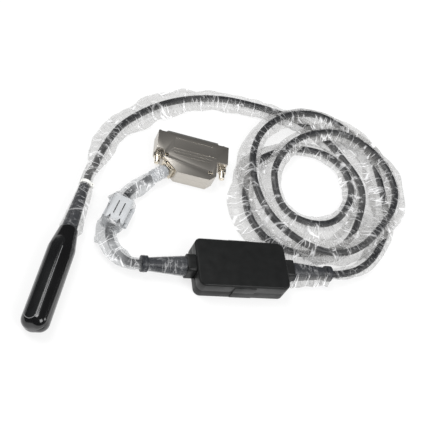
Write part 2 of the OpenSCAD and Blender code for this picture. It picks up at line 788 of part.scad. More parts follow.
module probe_relief() {
    color([0.2, 0.21, 0.23]) at_probe() rotate([-90, 0, 0]) rotate_extrude() polygon([
        [bore_r, flange_back - relief_flange_t], [relief_flange_r, flange_back - relief_flange_t],
        [relief_flange_r, flange_back], [relief_neck_r, flange_back], [relief_neck_r, fit],
        [relief_r, fit], [relief_r, relief_flange_t], [relief_tip_r, relief_l - relief_tip_r / 4],
        [relief_tip_r - fit, relief_l], [bore_r, relief_l]
    ]);
}

module probe_cable_end() {
    color([0.08, 0.08, 0.09]) at_probe() rod(cable_end_y, relief_l, cable_r);
}

module neck_tie() {
    color([0.93, 0.93, 0.9]) at_neck() {
        bush(tie_place, tie_place + tie_w, film_r + fit + tie_t, film_r + fit);
        translate([film_r + fit + tie_t / 2, tie_place + tie_w / 2 - tie_head / 2, -tie_head / 2]) difference() {
            cube([tie_head - tie_t / 2, tie_head, tie_head]);
            translate([tie_head / 3, tie_head / 4, -over]) cube([tie_t, tie_head / 2, tie_head + 2 * over]);
        }
    }
}

// Box

// Rounded outside of the box from z = 0 to h, chamfered at its far end
module box_form(h) {
    hull() {
        linear_extrude(height = h - box_chamfer) rounded_square(box_l, box_w, box_r);
        linear_extrude(height = h) rounded_square(box_l - 2 * box_chamfer, box_w - 2 * box_chamfer, box_r - box_chamfer);
    }
}

// One half of the box, seen from its open side: a tray that is h deep
module box_half(h) {
    difference() {
        union() {
            box_form(h);
            translate([-band_l / 2, -box_w / 2 - band_proud, 0])
                cube([band_l, box_w + 2 * band_proud, h - 2 * box_chamfer]);
        }
        translate([0, 0, -over]) linear_extrude(height = h - box_wall + over)
            rounded_square(box_l - 2 * box_wall, box_w - 2 * box_wall, box_r - box_wall);
        for (x = [-1, 1]) translate([x * (box_l / 2 - box_wall / 2), 0, 0])
            rotate([0, 90, 0]) cylinder(h = box_wall + 2 * over, r = gland_neck_r + fit, center = true);
    }
}

module at_posts() {
    for (x = [-1, 1], y = [-1, 1]) translate([x * post_x, y * post_y, 0]) children();
}

module box_cover() {
    color([0.05, 0.05, 0.05]) difference() {
        translate([0, 0, parting_z]) union() {
            box_half(box_h - parting_z);
            at_posts() cylinder(h = box_h - parting_z - box_wall / 2, r = post_r);
        }
        at_posts() translate([0, 0, parting_z - over])
            cylinder(h = box_screw_sink + box_screw_l - parting_z + 2 * over, r = box_screw_r + bearing);
    }
}

module box_base() {
    color([0.06, 0.06, 0.06]) difference() {
        union() {
            translate([0, 0, parting_z]) mirror([0, 0, 1]) box_half(parting_z);
            at_posts() translate([0, 0, box_wall / 2]) cylinder(h = parting_z - box_wall / 2, r = post_r);
            for (s = board_post_shares) translate([s.x * box_board_l, s.y * box_board_w, box_wall / 2])
                cylinder(h = board_bottom - box_wall / 2, r = board_post_r);
        }
        at_posts() {
            translate([0, 0, -over]) cylinder(h = parting_z + 2 * over, r = box_screw_r + run);
            translate([0, 0, -over]) cylinder(h = box_screw_sink + over, r = box_screw_head_r + run);
        }
    }
}

module box_screws() {
    color([0.6, 0.6, 0.62]) at_posts() {
        translate([0, 0, box_screw_sink]) cylinder(h = box_screw_l, r = box_screw_r);
        difference() {
            translate([0, 0, box_screw_sink - box_screw_head_h]) cylinder(h = box_screw_head_h, r = box_screw_head_r);
            for (a = [0, 90]) rotate([0, 0, a])
                translate([-box_screw_head_r * 2 / 3, -slot_w / 2, 0])
                    cube([box_screw_head_r * 4 / 3, slot_w, box_screw_sink - box_screw_head_h / 2]);
        }
    }
}

module box_board() {
    color([0.1, 0.42, 0.22]) difference() {
        translate([-box_board_l / 2, -box_board_w / 2, board_bottom]) cube([box_board_l, box_board_w, board_t]);
        at_posts() translate([0, 0, board_bottom - over]) cylinder(h = board_t + 2 * over, r = post_r + run);
    }
}

module box_chips() {
    color([0.12, 0.12, 0.13]) for (s = chip_shares)
        translate([s.x * box_board_l - chip_l / 2, s.y * box_board_w - chip_w / 2, board_top])
            cube([chip_l, chip_w, chip_h]);
}

module box_can() {
    color([0.75, 0.76, 0.78]) difference() {
        translate([-can_l / 2, -can_w / 2, board_top]) cube([can_l, can_w, can_h]);
        translate([-can_l / 2 + can_sheet, -can_w / 2 + can_sheet, board_top - over])
            cube([can_l - 2 * can_sheet, can_w - 2 * can_sheet, can_h - can_sheet + over]);
    }
}

module box_headers() {
    color([0.88, 0.86, 0.78]) for (x = [-1, 1]) translate([x * (header_x + header_l / 2), 0, board_top])
        difference() {
            translate([-header_l / 2, -header_w / 2, 0]) cube([header_l, header_w, header_h]);
            translate([-header_l / 4, -header_w * 3 / 8, header_h / 2])
                cube([header_l / 2, header_w * 3 / 4, header_h]);
        }
}

// Children once at each end of the box, with Y along the cable
module at_box_ends() {
    for (a = [-90, 90]) translate([0, 0, parting_z]) rotate([0, 0, a]) children();
}

module box_wires() {
    color([0.8, 0.3, 0.3]) at_box_ends()
        wire_row(header_x + header_l, box_cable_end_x, wire_count, wire_step, wire_d / 2);
}

module box_glands() {
    color([0.05, 0.05, 0.06]) at_box_ends() difference() {
        union() {
            translate([0, gland_end, 0]) rotate([90, 0, 0])
                linear_extrude(height = gland_l) rounded_square(gland_side, gland_side, gland_corner_r);
            rod(box_l / 2 - box_wall - 2 * fit, box_l / 2 + fit, gland_neck_r);
            rod(box_cable_end_x + fit, box_l / 2 - box_wall - fit, gland_flange_r);
        }
        rod(box_cable_end_x - over, gland_end + over, bore_r);
    }
}

module box_boots() {
    color([0.2, 0.21, 0.23]) at_box_ends() rotate([-90, 0, 0]) rotate_extrude() polygon([
        [bore_r, gland_end], [boot_r, gland_end], [boot_tip_r, gland_end + boot_l],
        [ring_r - fit, gland_end + boot_l], [ring_r, gland_end + boot_l + fit],
        [ring_r, boot_end - fit], [ring_r - fit, boot_end], [bore_r, boot_end]
    ]);
}

module box_cable_ends() {
    color([0.08, 0.08, 0.09]) at_box_ends() rod(box_cable_end_x, boot_end, cable_r);
}

// Ferrite

// One half of the ferrite's case, above z = 0, with its pocket and cable notches
module ferrite_half() {
    difference() {
        intersection() {
            rotate([90, 0, 0]) linear_extrude(height = ferrite_l, center = true)
                rounded_square(ferrite_w, ferrite_h, ferrite_corner_r);
            translate([-ferrite_w, -ferrite_l, lid_gap]) cube([2 * ferrite_w, 2 * ferrite_l, ferrite_h]);
        }
        translate([-pocket_w / 2, -pocket_l / 2, -over])
            cube([pocket_w, pocket_l, core_h + fit + over]);
        rod(-ferrite_l, ferrite_l, core_bore_r);
    }
}

module ferrite_core() {
    difference() {
        translate([-core_w / 2, -core_l / 2, lid_gap]) cube([core_w, core_l, core_h - lid_gap]);
        rod(-ferrite_l, ferrite_l, core_bore_r);
    }
}

module ferrite_base() {
    color([0.72, 0.73, 0.74]) at_ferrite() {
        mirror([0, 0, 1]) ferrite_half();
        // Two knuckles that hold the pin, each on an arm
        for (s = [-1, 1]) translate([hinge_x, s * (outer_knuckle_y + outer_knuckle_l / 2), 0]) {
            rod(-outer_knuckle_l / 2, outer_knuckle_l / 2, knuckle_r);
            translate([-knuckle_arm, -outer_knuckle_l / 2, -knuckle_r])
                cube([knuckle_arm, outer_knuckle_l, knuckle_r - lid_gap]);
        }
        translate([hinge_x, 0, 0]) rod(-outer_knuckle_y - outer_knuckle_l, outer_knuckle_y + outer_knuckle_l, hinge_pin_r);
        // Nubs that the latch tongues pass
        for (s = [-1, 1]) translate([-ferrite_w / 2, s * tongue_y, -tongue_reach / 2]) rod(-tongue_w / 3, tongue_w / 3, nub_r);
    }
}

module ferrite_lid() {
    color([0.74, 0.75, 0.76]) at_ferrite() {
        difference() {
            union() {
                ferrite_half();
                translate([hinge_x, 0, 0]) rod(-lid_knuckle_l / 2, lid_knuckle_l / 2, knuckle_r);
                translate([hinge_x - knuckle_arm, -lid_knuckle_l / 2, lid_gap])
                    cube([knuckle_arm, lid_knuckle_l, knuckle_r - lid_gap]);
            }
            for (x = [-1, 1]) translate([x * lid_slot_gap / 2 - lid_slot_w / 2, -lid_slot_l / 2, ferrite_h / 2 - ferrite_wall / 2])
                cube([lid_slot_w, lid_slot_l, ferrite_wall]);
            for (x = [-1, 1]) translate([x * lid_vent_gap / 2, -ferrite_l / 2, ferrite_h / 4])
                linear_extrude(height = ferrite_h)
                    polygon([[-lid_vent_w / 2, -over], [lid_vent_w / 2, -over], [0, lid_vent_l]]);
            translate([hinge_x, 0, 0]) rod(-ferrite_l, ferrite_l, hinge_pin_r + bearing);
        }
        // Latch tongues
        for (s = [-1, 1]) translate([-ferrite_w / 2 - tongue_gap - tongue_t, s * tongue_y - tongue_w / 2, 0]) {
            translate([0, 0, -tongue_reach]) cube([tongue_t, tongue_w, tongue_reach + ferrite_h / 4]);
            translate([0, 0, run]) cube([tongue_t + tongue_gap + ferrite_wall / 2, tongue_w, ferrite_h / 4 - run]);
        }
    }
}

module ferrite_lower_core() {
    color([0.16, 0.16, 0.17]) at_ferrite() mirror([0, 0, 1]) ferrite_core();
}

module ferrite_upper_core() {
    color([0.16, 0.16, 0.17]) at_ferrite() ferrite_core();
}

// Plug

// Outline of the hood behind its ears, smaller all round by inset
module hood_outline(inset) {
    k = inset * tan(22.5);
    polygon([
        [-hood_left + inset, -over], [-hood_left + inset, -hood_depth + entry_leg + k],
        [-hood_left + entry_leg + k, -hood_depth + inset],
        [hood_right - corner_leg - k, -hood_depth + inset],
        [hood_right - inset, -hood_depth + corner_leg + k], [hood_right - inset, -over]
    ]);
}

// Both halves of the hood in one: the solid halves are cut out of it
module hood_whole() {
    difference() {
        union() {
            translate([-hood_w / 2, -ear_depth, 0]) cube([hood_w, ear_depth, hood_h]);
            linear_extrude(height = hood_h) hood_outline(0);
        }
        // Space for the flange, and the room behind it
        translate([-hood_w, flange_back_y - fit, hood_mid - flange_h / 2 - fit])
            cube([2 * hood_w, hood_w, flange_h + 2 * fit]);
        translate([-ear_x, -ear_depth + hood_wall, hood_wall]) cube([2 * ear_x, ear_depth, hood_h - 2 * hood_wall]);
        translate([0, 0, hood_wall]) linear_extrude(height = hood_h - 2 * hood_wall) hood_outline(hood_wall);
        // Bores of the jackscrews with the rooms of their clips
        for (x = [-1, 1]) translate([x * screw_x, 0, hood_mid]) {
            rod(-ear_depth - over, over, ear_bore_r);
            rod(clip_back, clip_back + clip_cavity_l, clip_cavity_r);
        }
        // Cable entry
        at_entry() translate([-clamp_w / 2 - fit, -clamp_depth - hood_wall, -clamp_h / 2 - fit])
            cube([clamp_w + 2 * fit, hood_depth, clamp_h + 2 * fit]);
    }
    for (p = hood_screw_places) translate([p.x, p.y, hood_wall / 2]) cylinder(h = hood_h - hood_wall, r = hood_post_r);
}

module hood_lower() {
    color([0.62, 0.6, 0.56]) at_plug() difference() {
        intersection() {
            hood_whole();
            translate([-hood_w, -hood_w, 0]) cube([2 * hood_w, 2 * hood_w, hood_mid]);
        }
        for (p = hood_screw_places) translate([p.x, p.y, hood_wall]) cylinder(h = hood_h, r = hood_screw_r + bearing);
    }
}

module hood_upper() {
    color([0.62, 0.6, 0.56]) at_plug() {
        difference() {
            intersection() {
                hood_whole();
                translate([-hood_w, -hood_w, hood_mid]) cube([2 * hood_w, 2 * hood_w, hood_mid]);
            }
            for (p = hood_screw_places) translate([p.x, p.y, 0]) {
                cylinder(h = hood_h + over, r = hood_screw_r + run);
                translate([0, 0, hood_h - hood_screw_head_h - run]) cylinder(h = hood_h, r = hood_screw_head_r + run);
            }
        }
        for (i = [0 : len(rib_place_shares) - 1])
            translate([rib_start_shares[i] * hood_w, -rib_place_shares[i] * hood_depth - rib_w, hood_h - rib_h])
                cube([(rib_end_shares[i] - rib_start_shares[i]) * hood_w, rib_w, 2 * rib_h]);
    }
}

module hood_screws() {
    color([0.7, 0.68, 0.64]) at_plug() for (p = hood_screw_places) translate([p.x, p.y, 0]) difference() {
        union() {
            translate([0, 0, hood_wall + over]) cylinder(h = hood_h - hood_wall - hood_screw_head_h, r = hood_screw_r);
            translate([0, 0, hood_h - hood_screw_head_h - run]) cylinder(h = hood_screw_head_h, r = hood_screw_head_r);
        }
        translate([-hood_screw_head_r - over, -slot_w / 2, hood_h - run - hood_screw_head_h / 2])
            cube([2 * hood_screw_head_r + 2 * over, slot_w, hood_screw_head_h]);
    }
}

// Slanted outline of the connector's shell, smaller all round by inset
module shell_outline(inset) {
    r = shell_corner_r - inset;
    x = shell_w / 2 - shell_corner_r;
    z = shell_h / 2 - shell_corner_r;
    hull() for (s = [-1, 1]) {
        translate([s * x, -z]) circle(r, $fn = 32);
        translate([s * (x - shell_lean), z]) circle(r, $fn = 32);
    }
}

// The outline stood up and stretched along Y from y = a to y = b
module shell_block(a, b, inset) {
    translate([0, b, hood_mid]) rotate([90, 0, 0]) linear_extrude(height = b - a) shell_outline(inset);
}

module flange_plate(front) {
    translate([-flange_w / 2, front - flange_t, hood_mid - flange_h / 2]) cube([flange_w, flange_t, flange_h]);
}

module screw_holes() {
    for (x = [-1, 1]) translate([x * screw_x, 0, hood_mid]) rod(flange_back_y - over, over, thread_r + run);
}

module connector_face() {
    color([0.7, 0.69, 0.66]) at_plug() difference() {
        union() {
            flange_plate(0);
            shell_block(-flange_t / 2, shell_reach, 0);
        }
        shell_block(-flange_t - over, shell_reach + over, shell_sheet);
        screw_holes();
    }
}

module connector_back() {
    color([0.7, 0.69, 0.66]) at_plug() difference() {
        union() {
            flange_plate(-flange_t);
            shell_block(flange_back_y - connector_depth, -flange_t * 3 / 2, 0);
        }
        shell_block(flange_back_y - connector_depth - over, 0, shell_sheet);
        screw_holes();
    }
}

// Children at each pin's place
module at_pins() {
    for (row = [0, 1], i = [0 : row_count - 1 - row])
        translate([(i - (row_count - 1 - row) / 2) * pin_pitch, 0, hood_mid + (row - 0.5) * row_pitch]) children();
}

module connector_insulator() {
    color([0.1, 0.1, 0.11]) at_plug() difference() {
        shell_block(flange_back_y - connector_depth, flange_t / 2, shell_sheet + fit);
        at_pins() rod(flange_back_y - connector_depth - over, flange_t + over, pin_r + bearing);
    }
}

module connector_pins() {
    back = flange_back_y - connector_depth;
    color([0.85, 0.7, 0.35]) at_plug() at_pins() {
        rod(back - bearing, shell_reach - shell_sheet, pin_r);
        rod(back - bearing - cup_l, back - bearing, cup_r);
    }
}

module plug_wires() {
    back = flange_back_y - connector_depth - bearing - cup_l;
    color([0.8, 0.3, 0.3]) at_plug() translate([0, 0, hood_mid - row_pitch / 2])
        wire_row(back - plug_wire_l, back, plug_wire_count, pin_pitch, wire_d / 2);
}

// A jackscrew round the Y axis, pushed fully in
module jackscrew() {
    collar_front = -ear_depth - run;
    difference() {
        union() {
            rod(0, thread_reach, thread_r);
            rod(clip_y + clip_t + groove_gap, 0, shank_r);
            rod(clip_y - groove_gap, clip_y + clip_t + groove_gap, groove_r);
            rod(collar_front, clip_y - groove_gap, shank_r);
            rod(collar_front - collar_l, collar_front, collar_r);
            rod(collar_front - collar_l - thumb_l, collar_front - collar_l, thumb_r);
        }
        for (i = [0 : notch_count - 1]) rotate([0, 360 * i / notch_count, 0]) translate([0, 0, collar_r])
            rod(collar_front - collar_l - over, collar_front + over, collar_r / notch_count);
        translate([-thumb_r - over, collar_front - collar_l - thumb_l - over, -slot_w / 2])
            cube([2 * thumb_r + 2 * over, thumb_r / 2 + over, slot_w]);
    }
}

module left_jackscrew() {
    color([0.8, 0.78, 0.72]) at_plug() translate([-screw_x, 0, hood_mid]) jackscrew();
}

module right_jackscrew() {
    color([0.8, 0.78, 0.72]) at_plug() translate([screw_x, 0, hood_mid]) jackscrew();
}

module left_clip() {
    color([0.5, 0.5, 0.52]) at_plug() translate([-screw_x, 0, hood_mid]) bush(clip_y, clip_y + clip_t, clip_r, groove_r + bearing);
}

module right_clip() {
    color([0.5, 0.5, 0.52]) at_plug() translate([screw_x, 0, hood_mid]) bush(clip_y, clip_y + clip_t, clip_r, groove_r + bearing);
}

// Children at each clamp screw's place
module at_clamp_screws() {
    for (x = [-1, 1]) translate([x * clamp_screw_y, clamp_screw_x, 0]) children();
}

module clamp_half() {
    difference() {
        translate([-clamp_w / 2, -clamp_depth, fit]) cube([clamp_w, clamp_depth + clamp_reach, clamp_h / 2 - fit]);
        rod(-hood_depth, hood_depth, cable_r + bearing);
        at_clamp_screws() cylinder(h = clamp_h, r = clamp_screw_r + bearing);
    }
}

module clamp_lower() {
    color([0.5, 0.44, 0.36]) at_plug() at_entry() mirror([0, 0, 1]) clamp_half();
}

module clamp_upper() {
    color([0.5, 0.44, 0.36]) at_plug() at_entry() clamp_half();
}

module clamp_screws() {
    color([0.85, 0.83, 0.78]) at_plug() at_entry() at_clamp_screws() difference() {
        union() {
            translate([0, 0, -clamp_h / 2]) cylinder(h = clamp_h, r = clamp_screw_r);
            translate([0, 0, clamp_h / 2]) cylinder(h = clamp_screw_head_h, r = clamp_screw_head_r);
        }
        translate([-clamp_screw_head_r - over, -slot_w / 2, clamp_h / 2 + clamp_screw_head_h / 2])
            cube([2 * clamp_screw_head_r + 2 * over, slot_w, clamp_screw_head_h]);
    }
}

module plug_cable_end() {
    color([0.08, 0.08, 0.09]) at_plug() at_entry() rod(-plug_cable_depth, clamp_reach, cable_r);
}

module plug_cuff() {
    color([0.75, 0.77, 0.78]) at_plug() at_entry() bush(cuff_start, cuff_start + cuff_l, cuff_r, film_in_r);
}

// Cables and their film

module cable_coil() {
    color([0.08, 0.08, 0.09]) cable_along(coil_route, cable_r, coil_sides);
}

module probe_lead() {
    color([0.08, 0.08, 0.09]) cable_along(probe_route, cable_r, lead_sides);
}

module plug_lead() {
    color([0.08, 0.08, 0.09]) cable_along(short_route, cable_r, lead_sides);
}

function round_mid(reaches) = [
    for (i = [0 : len(reaches) - 1]) reaches[i] * [cos(360 * i / len(reaches)), sin(360 * i / len(reaches))]
];

module coil_film() {
    color([0.85, 0.87, 0.88]) {
        sleeve_along(coil_route, film_r, film_in_r, 0, 0, coil_sides);
        translate(coil_mid) linear_extrude(film_t) difference() {
            polygon(round_mid(film_rim_reaches));
            polygon(round_mid(film_opening_reaches));
        }
    }
}

module probe_lead_film() {
    color([0.85, 0.87, 0.88]) sleeve_along(probe_route, film_r, film_in_r, film_half_w - film_r, film_close, lead_sides);
}

module plug_lead_films() {
    color([0.85, 0.87, 0.88]) {
        sleeve_along(short_first_film, film_r, film_in_r, short_film_half_w - film_r, 0, lead_sides);
        sleeve_along(short_second_film, film_r, film_in_r, short_film_half_w - film_r, 0, lead_sides);
    }
}

// Film round the strain relief of the probe
module neck_film() {
    color([0.85, 0.87, 0.88]) at_probe() rotate([-90, 0, 0]) rotate_extrude() polygon([
        [relief_r + run, run], [relief_r + run + film_t, run],
        [relief_tip_r + run + film_t, relief_l - fit], [relief_tip_r + run, relief_l - fit]
    ]);
}

// Film round the two boots of the box
module boot_films() {
    color([0.85, 0.87, 0.88]) at_box_ends() rotate([-90, 0, 0]) rotate_extrude() polygon([
        [boot_r + run, gland_end + fit], [boot_r + run + film_t, gland_end + fit],
        [ring_r + run + film_t, gland_end + boot_l], [ring_r + run + film_t, boot_end - fit],
        [ring_r + run, boot_end - fit], [ring_r + run, gland_end + boot_l]
    ]);
}

probe_upper_shell();
probe_lower_shell();
acoustic_lens();
matching_layer();
crystal_array();
backing_block();
array_carrier();
flex_circuit();
probe_board();
probe_wires();
probe_ferrule();
probe_relief();
probe_cable_end();
neck_tie();
box_cover();
box_base();
box_screws();
box_board();
box_chips();
box_can();
box_headers();
box_wires();
box_glands();
box_boots();
box_cable_ends();
ferrite_base();
ferrite_lid();
ferrite_lower_core();
ferrite_upper_core();
hood_lower();
hood_upper();
hood_screws();
connector_face();
connector_back();
connector_insulator();
connector_pins();
plug_wires();
left_jackscrew();
right_jackscrew();
left_clip();
right_clip();
clamp_lower();
clamp_upper();
clamp_screws();
plug_cable_end();
plug_cuff();
cable_coil();
probe_lead();
plug_lead();
coil_film();
probe_lead_film();
plug_lead_films();
neck_film();
boot_films();
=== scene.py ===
"""Dresses the probe assembly: cables, loose film, housings, ferrite and plug, on a white table."""

import logging
import math
from dataclasses import dataclass, field
from enum import Enum
from typing import Callable, Iterable, Sequence

import bmesh
import bpy
from mathutils import Matrix, Vector, noise


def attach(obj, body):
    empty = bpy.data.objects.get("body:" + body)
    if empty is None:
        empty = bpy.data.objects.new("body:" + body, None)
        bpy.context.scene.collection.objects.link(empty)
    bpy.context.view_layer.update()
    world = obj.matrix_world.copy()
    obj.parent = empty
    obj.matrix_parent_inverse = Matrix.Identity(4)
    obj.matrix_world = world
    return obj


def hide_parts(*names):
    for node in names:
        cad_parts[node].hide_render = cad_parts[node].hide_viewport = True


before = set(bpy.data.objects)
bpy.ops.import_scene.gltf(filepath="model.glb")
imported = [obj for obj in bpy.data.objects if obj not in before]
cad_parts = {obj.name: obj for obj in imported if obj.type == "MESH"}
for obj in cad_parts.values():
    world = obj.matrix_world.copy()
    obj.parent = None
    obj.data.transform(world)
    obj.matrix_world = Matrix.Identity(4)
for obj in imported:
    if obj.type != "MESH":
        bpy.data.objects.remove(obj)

log = logging.getLogger("probe_assembly")

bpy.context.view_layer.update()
MM = 0.001
ROOT = "root"
# Points closer than this are one, and faces flatter than this are joined, before an edge is rounded
WELD = 2e-6
FLAT_DEG = 0.5
# Edges are rounded from the first angle, and what is left of them stays sharp from the second
ROUNDED_FROM_DEG = 34.0
SHARP_FROM_DEG = 46.0
# Distance between two points of a cable, and an eighth of a turn
ROUTE_STEP = 0.0028
EIGHTH_DEG = 45
CABLE_DIAMETER = 0.0066
# Where the cables leave the boots of the box: distance from its middle, and height
BOOT_END = 0.090
BOX_AXIS_Z = 0.0105
Point = tuple[float, float, float]
Colour = tuple[float, float, float]
# Where the short cable enters the plug, its way out of it, and the length of the rolled film there
PLUG_ENTRY: Point = (-0.054455, 0.102924, 0.0079)
PLUG_WAY: Point = (-0.82413, -0.56641, 0.0)
CUFF_LENGTH = 0.0195


class Grain(Enum):
    """How fine the surface of a finish is, in cells a metre."""

    SMOOTH = 900.0
    SATIN = 2600.0
    CAST = 4200.0


# Mesh helpers


def new_object(name: str, mesh: bpy.types.Mesh) -> bpy.types.Object:
    """Links a new object for a mesh.

    Args:
        name: the object's name.
        mesh: its mesh, already in its place.

    Returns:
        The object, at the origin.
    """
    obj = bpy.data.objects.new(name, mesh)
    bpy.context.scene.collection.objects.link(obj)
    return obj


def mesh_from(
    name: str, verts: Sequence[Sequence[float]], faces: Sequence[Sequence[int]]
) -> bpy.types.Mesh:
    """Makes a mesh from points and faces, with its faces turned outwards.

    Args:
        name: the mesh's name.
        verts: its points, in metres.
        faces: its faces, as numbers of points.

    Returns:
        The mesh.
    """
    mesh = bpy.data.meshes.new(name)
    mesh.from_pydata([tuple(v) for v in verts], [], [tuple(f) for f in faces])
    mesh.update()
    bm = bmesh.new()
    bm.from_mesh(mesh)
    bmesh.ops.recalc_face_normals(bm, faces=bm.faces)
    bm.to_mesh(mesh)
    bm.free()
    return mesh


def smooth(mesh: bpy.types.Mesh, degrees: float = 38.0) -> None:
    """Shades a mesh smooth, but keeps the edges sharper than an angle.

    Args:
        mesh: the mesh.
        degrees: angle from which an edge stays sharp.
    """
    for face in mesh.polygons:
        face.use_smooth = True
    mesh.set_sharp_from_angle(angle=math.radians(degrees))


def applied(obj: bpy.types.Object) -> bpy.types.Object:
    """Bakes an object's modifiers into its mesh and removes them.

    Args:
        obj: the object.

    Returns:
        The same object with a plain mesh.
    """
    graph = bpy.context.evaluated_depsgraph_get()
    graph.update()
    done = bpy.data.meshes.new_from_object(obj.evaluated_get(graph))
    done.name = obj.name
    obj.modifiers.clear()
    obj.data = done
    return obj


def softened_copy(node: str, name: str, width: float, segments: int = 2) -> bpy.types.Object:
    """Copies a CAD node and rounds its sharp edges.

    Args:
        node: the CAD node.
        name: name of the new piece.
        width: width of the rounding, in metres.
        segments: faces across each rounding.

    Returns:
        The new piece, which replaces the node.
    """
    bm = bmesh.new()
    bm.from_mesh(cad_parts[node].data)
    bmesh.ops.remove_doubles(bm, verts=bm.verts, dist=WELD)
    bmesh.ops.dissolve_limit(bm, angle_limit=math.radians(FLAT_DEG), verts=bm.verts, edges=bm.edges)
    mesh = bpy.data.meshes.new(name)
    bm.to_mesh(mesh)
    bm.free()
    obj = new_object(name, mesh)
    rounding = obj.modifiers.new("rounding", "BEVEL")
    rounding.limit_method = "ANGLE"
    rounding.angle_limit = math.radians(ROUNDED_FROM_DEG)
    rounding.width = width
    rounding.segments = segments
    rounding.use_clamp_overlap = True
    applied(obj)
    obj.data.materials.clear()
    smooth(obj.data, SHARP_FROM_DEG)
    return obj


def ring_faces(rings: int, n: int, closed: bool = False) -> list[list[int]]:
    """Lists the faces of a skin over rings of points.

    Args:
        rings: how many rings there are.
        n: how many points each of them has.
        closed: whether the last ring joins the first.

    Returns:
        The faces, as numbers of points.
    """
    return [
        [i * n + k, i * n + (k + 1) % n, (i + 1) % rings * n + (k + 1) % n, (i + 1) % rings * n + k]
        for i in range(rings if closed else rings - 1)
        for k in range(n)
    ]


def lofted(rings: Sequence[Sequence[Vector]]) -> tuple[list[Vector], list[list[int]]]:
    """Joins closed rings of equal count into a closed skin.

    Args:
        rings: the rings, in order.

    Returns:
        Points and faces.
    """
    n = len(rings[0])
    faces = ring_faces(len(rings), n)
    faces.append(list(range(n))[::-1])
    faces.append([(len(rings) - 1) * n + k for k in range(n)])
    return [p for ring in rings for p in ring], faces


def put_on(obj: bpy.types.Object, material: bpy.types.Material) -> None:
    """Gives an object one material for all its faces.

    Args:
        obj: the object.
        material: the material.
    """
    obj.data.materials.clear()
    obj.data.materials.append(material)


# Node trees

FLOAT = "NodeSocketFloat"
GEOMETRY = "NodeSocketGeometry"
WHITE = (1.0, 1.0, 1.0, 1.0)
Inputs = dict[str | int, object]
Group = tuple[bpy.types.NodeTree, bpy.types.Node, bpy.types.Node]


def feed(tree: bpy.types.NodeTree, node: bpy.types.Node, inputs: Inputs) -> None:
    """Sets or links a node's inputs.

    Args:
        tree: the tree that holds the node.
        node: the node.
        inputs: for each input a value, or the socket that it takes its value from.
    """
    for name, value in inputs.items():
        if isinstance(value, bpy.types.NodeSocket):
            tree.links.new(value, node.inputs[name])
        else:
            node.inputs[name].default_value = value


def add_node(
    tree: bpy.types.NodeTree, kind: str, inputs: Inputs | None = None, **settings: object
) -> bpy.types.Node:
    """Adds a node with its settings and its inputs.

    Args:
        tree: the tree.
        kind: the node's type.
        inputs: for each input a value or a socket.
        settings: the node's own settings, which are made first, as they tell which inputs it has.

    Returns:
        The node.
    """
    node = tree.nodes.new(kind)
    for name, value in settings.items():
        setattr(node, name, value)
    feed(tree, node, inputs or {})
    return node


def new_group(
    name: str, kind: str, inputs: Sequence[tuple[str, str]], outputs: Sequence[tuple[str, str]]
) -> Group:
    """Starts a node group with named sockets.

    Args:
        name: the group's name.
        kind: its type.
        inputs: name and type of each input.
        outputs: name and type of each output.

    Returns:
        The group, its input node and its output node.
    """
    tree = bpy.data.node_groups.new(name, kind)
    for way, sockets in (("INPUT", inputs), ("OUTPUT", outputs)):
        for label, socket_type in sockets:
            tree.interface.new_socket(name=label, in_out=way, socket_type=socket_type)
    return tree, tree.nodes.new("NodeGroupInput"), tree.nodes.new("NodeGroupOutput")


def math_node(tree: bpy.types.NodeTree, operation: str, *values: object) -> bpy.types.NodeSocket:
    """Adds a math node.

    Args:
        tree: the tree.
        operation: the operation's name.
        values: sockets or numbers.

    Returns:
        Its output.
    """
    return add_node(tree, "ShaderNodeMath", dict(enumerate(values)), operation=operation).outputs[0]


def ramp(
    tree: bpy.types.NodeTree, value: bpy.types.NodeSocket, low: float, high: float
) -> bpy.types.NodeSocket:
    """Maps a value from low..high to 0..1, clamped and smooth.

    Args:
        tree: the tree.
        value: the value.
        low: value that gives 0.
        high: value that gives 1.

    Returns:
        The mapped value.
    """
    inputs = {"Value": value, "From Min": low, "From Max": high}
    return add_node(tree, "ShaderNodeMapRange", inputs, interpolation_type="SMOOTHSTEP").outputs["Result"]


def mixed(tree: bpy.types.NodeTree, share: object, first: object, second: object) -> bpy.types.NodeSocket:
    """Mixes two colours.

    Args:
        tree: the tree.
        share: how much of the second there is.
        first: a colour or a socket.
        second: a colour or a socket.

    Returns:
        The mixed colour.
    """
    inputs = {"Factor": share, "A": first, "B": second}
    return add_node(tree, "ShaderNodeMix", inputs, data_type="RGBA").outputs["Result"]


def bumped(
    tree: bpy.types.NodeTree, height: bpy.types.NodeSocket, strength: float, depth: float
) -> bpy.types.NodeSocket:
    """Turns heights into a bumped normal.

    Args:
        tree: the tree.
        height: the heights, from 0 to 1.
        strength: how strongly they show.
        depth: what a height of 1 stands for, in metres.

    Returns:
        The normal.
    """
    inputs = {"Strength": strength, "Distance": depth, "Height": height}
    return add_node(tree, "ShaderNodeBump", inputs).outputs["Normal"]


def new_material(name: str) -> tuple[bpy.types.Material, bpy.types.NodeTree, bpy.types.Node]:
    """Starts a material.

    Args:
        name: its name.

    Returns:
        The material, its tree and its shader.
    """
    material = bpy.data.materials.new(name)
    material.use_nodes = True
    return material, material.node_tree, material.node_tree.nodes["Principled BSDF"]


# Shader groups


@dataclass(frozen=True)
class GrainSizes:
    """What the grain group draws: details of its noise, and the ranges in which an edge wears."""

    fine_detail: float = 3.0
    broad_detail: float = 5.0
    sharp_from: float = 0.52
    sharp_to: float = 0.62
    patch_from: float = 0.35
    patch_to: float = 0.65


@dataclass(frozen=True)
class Streaks:
    """One set of crease lines: its turn in radians, its scales along and across, its width."""

    turn: float
    along: float
    across: float
    wide: float


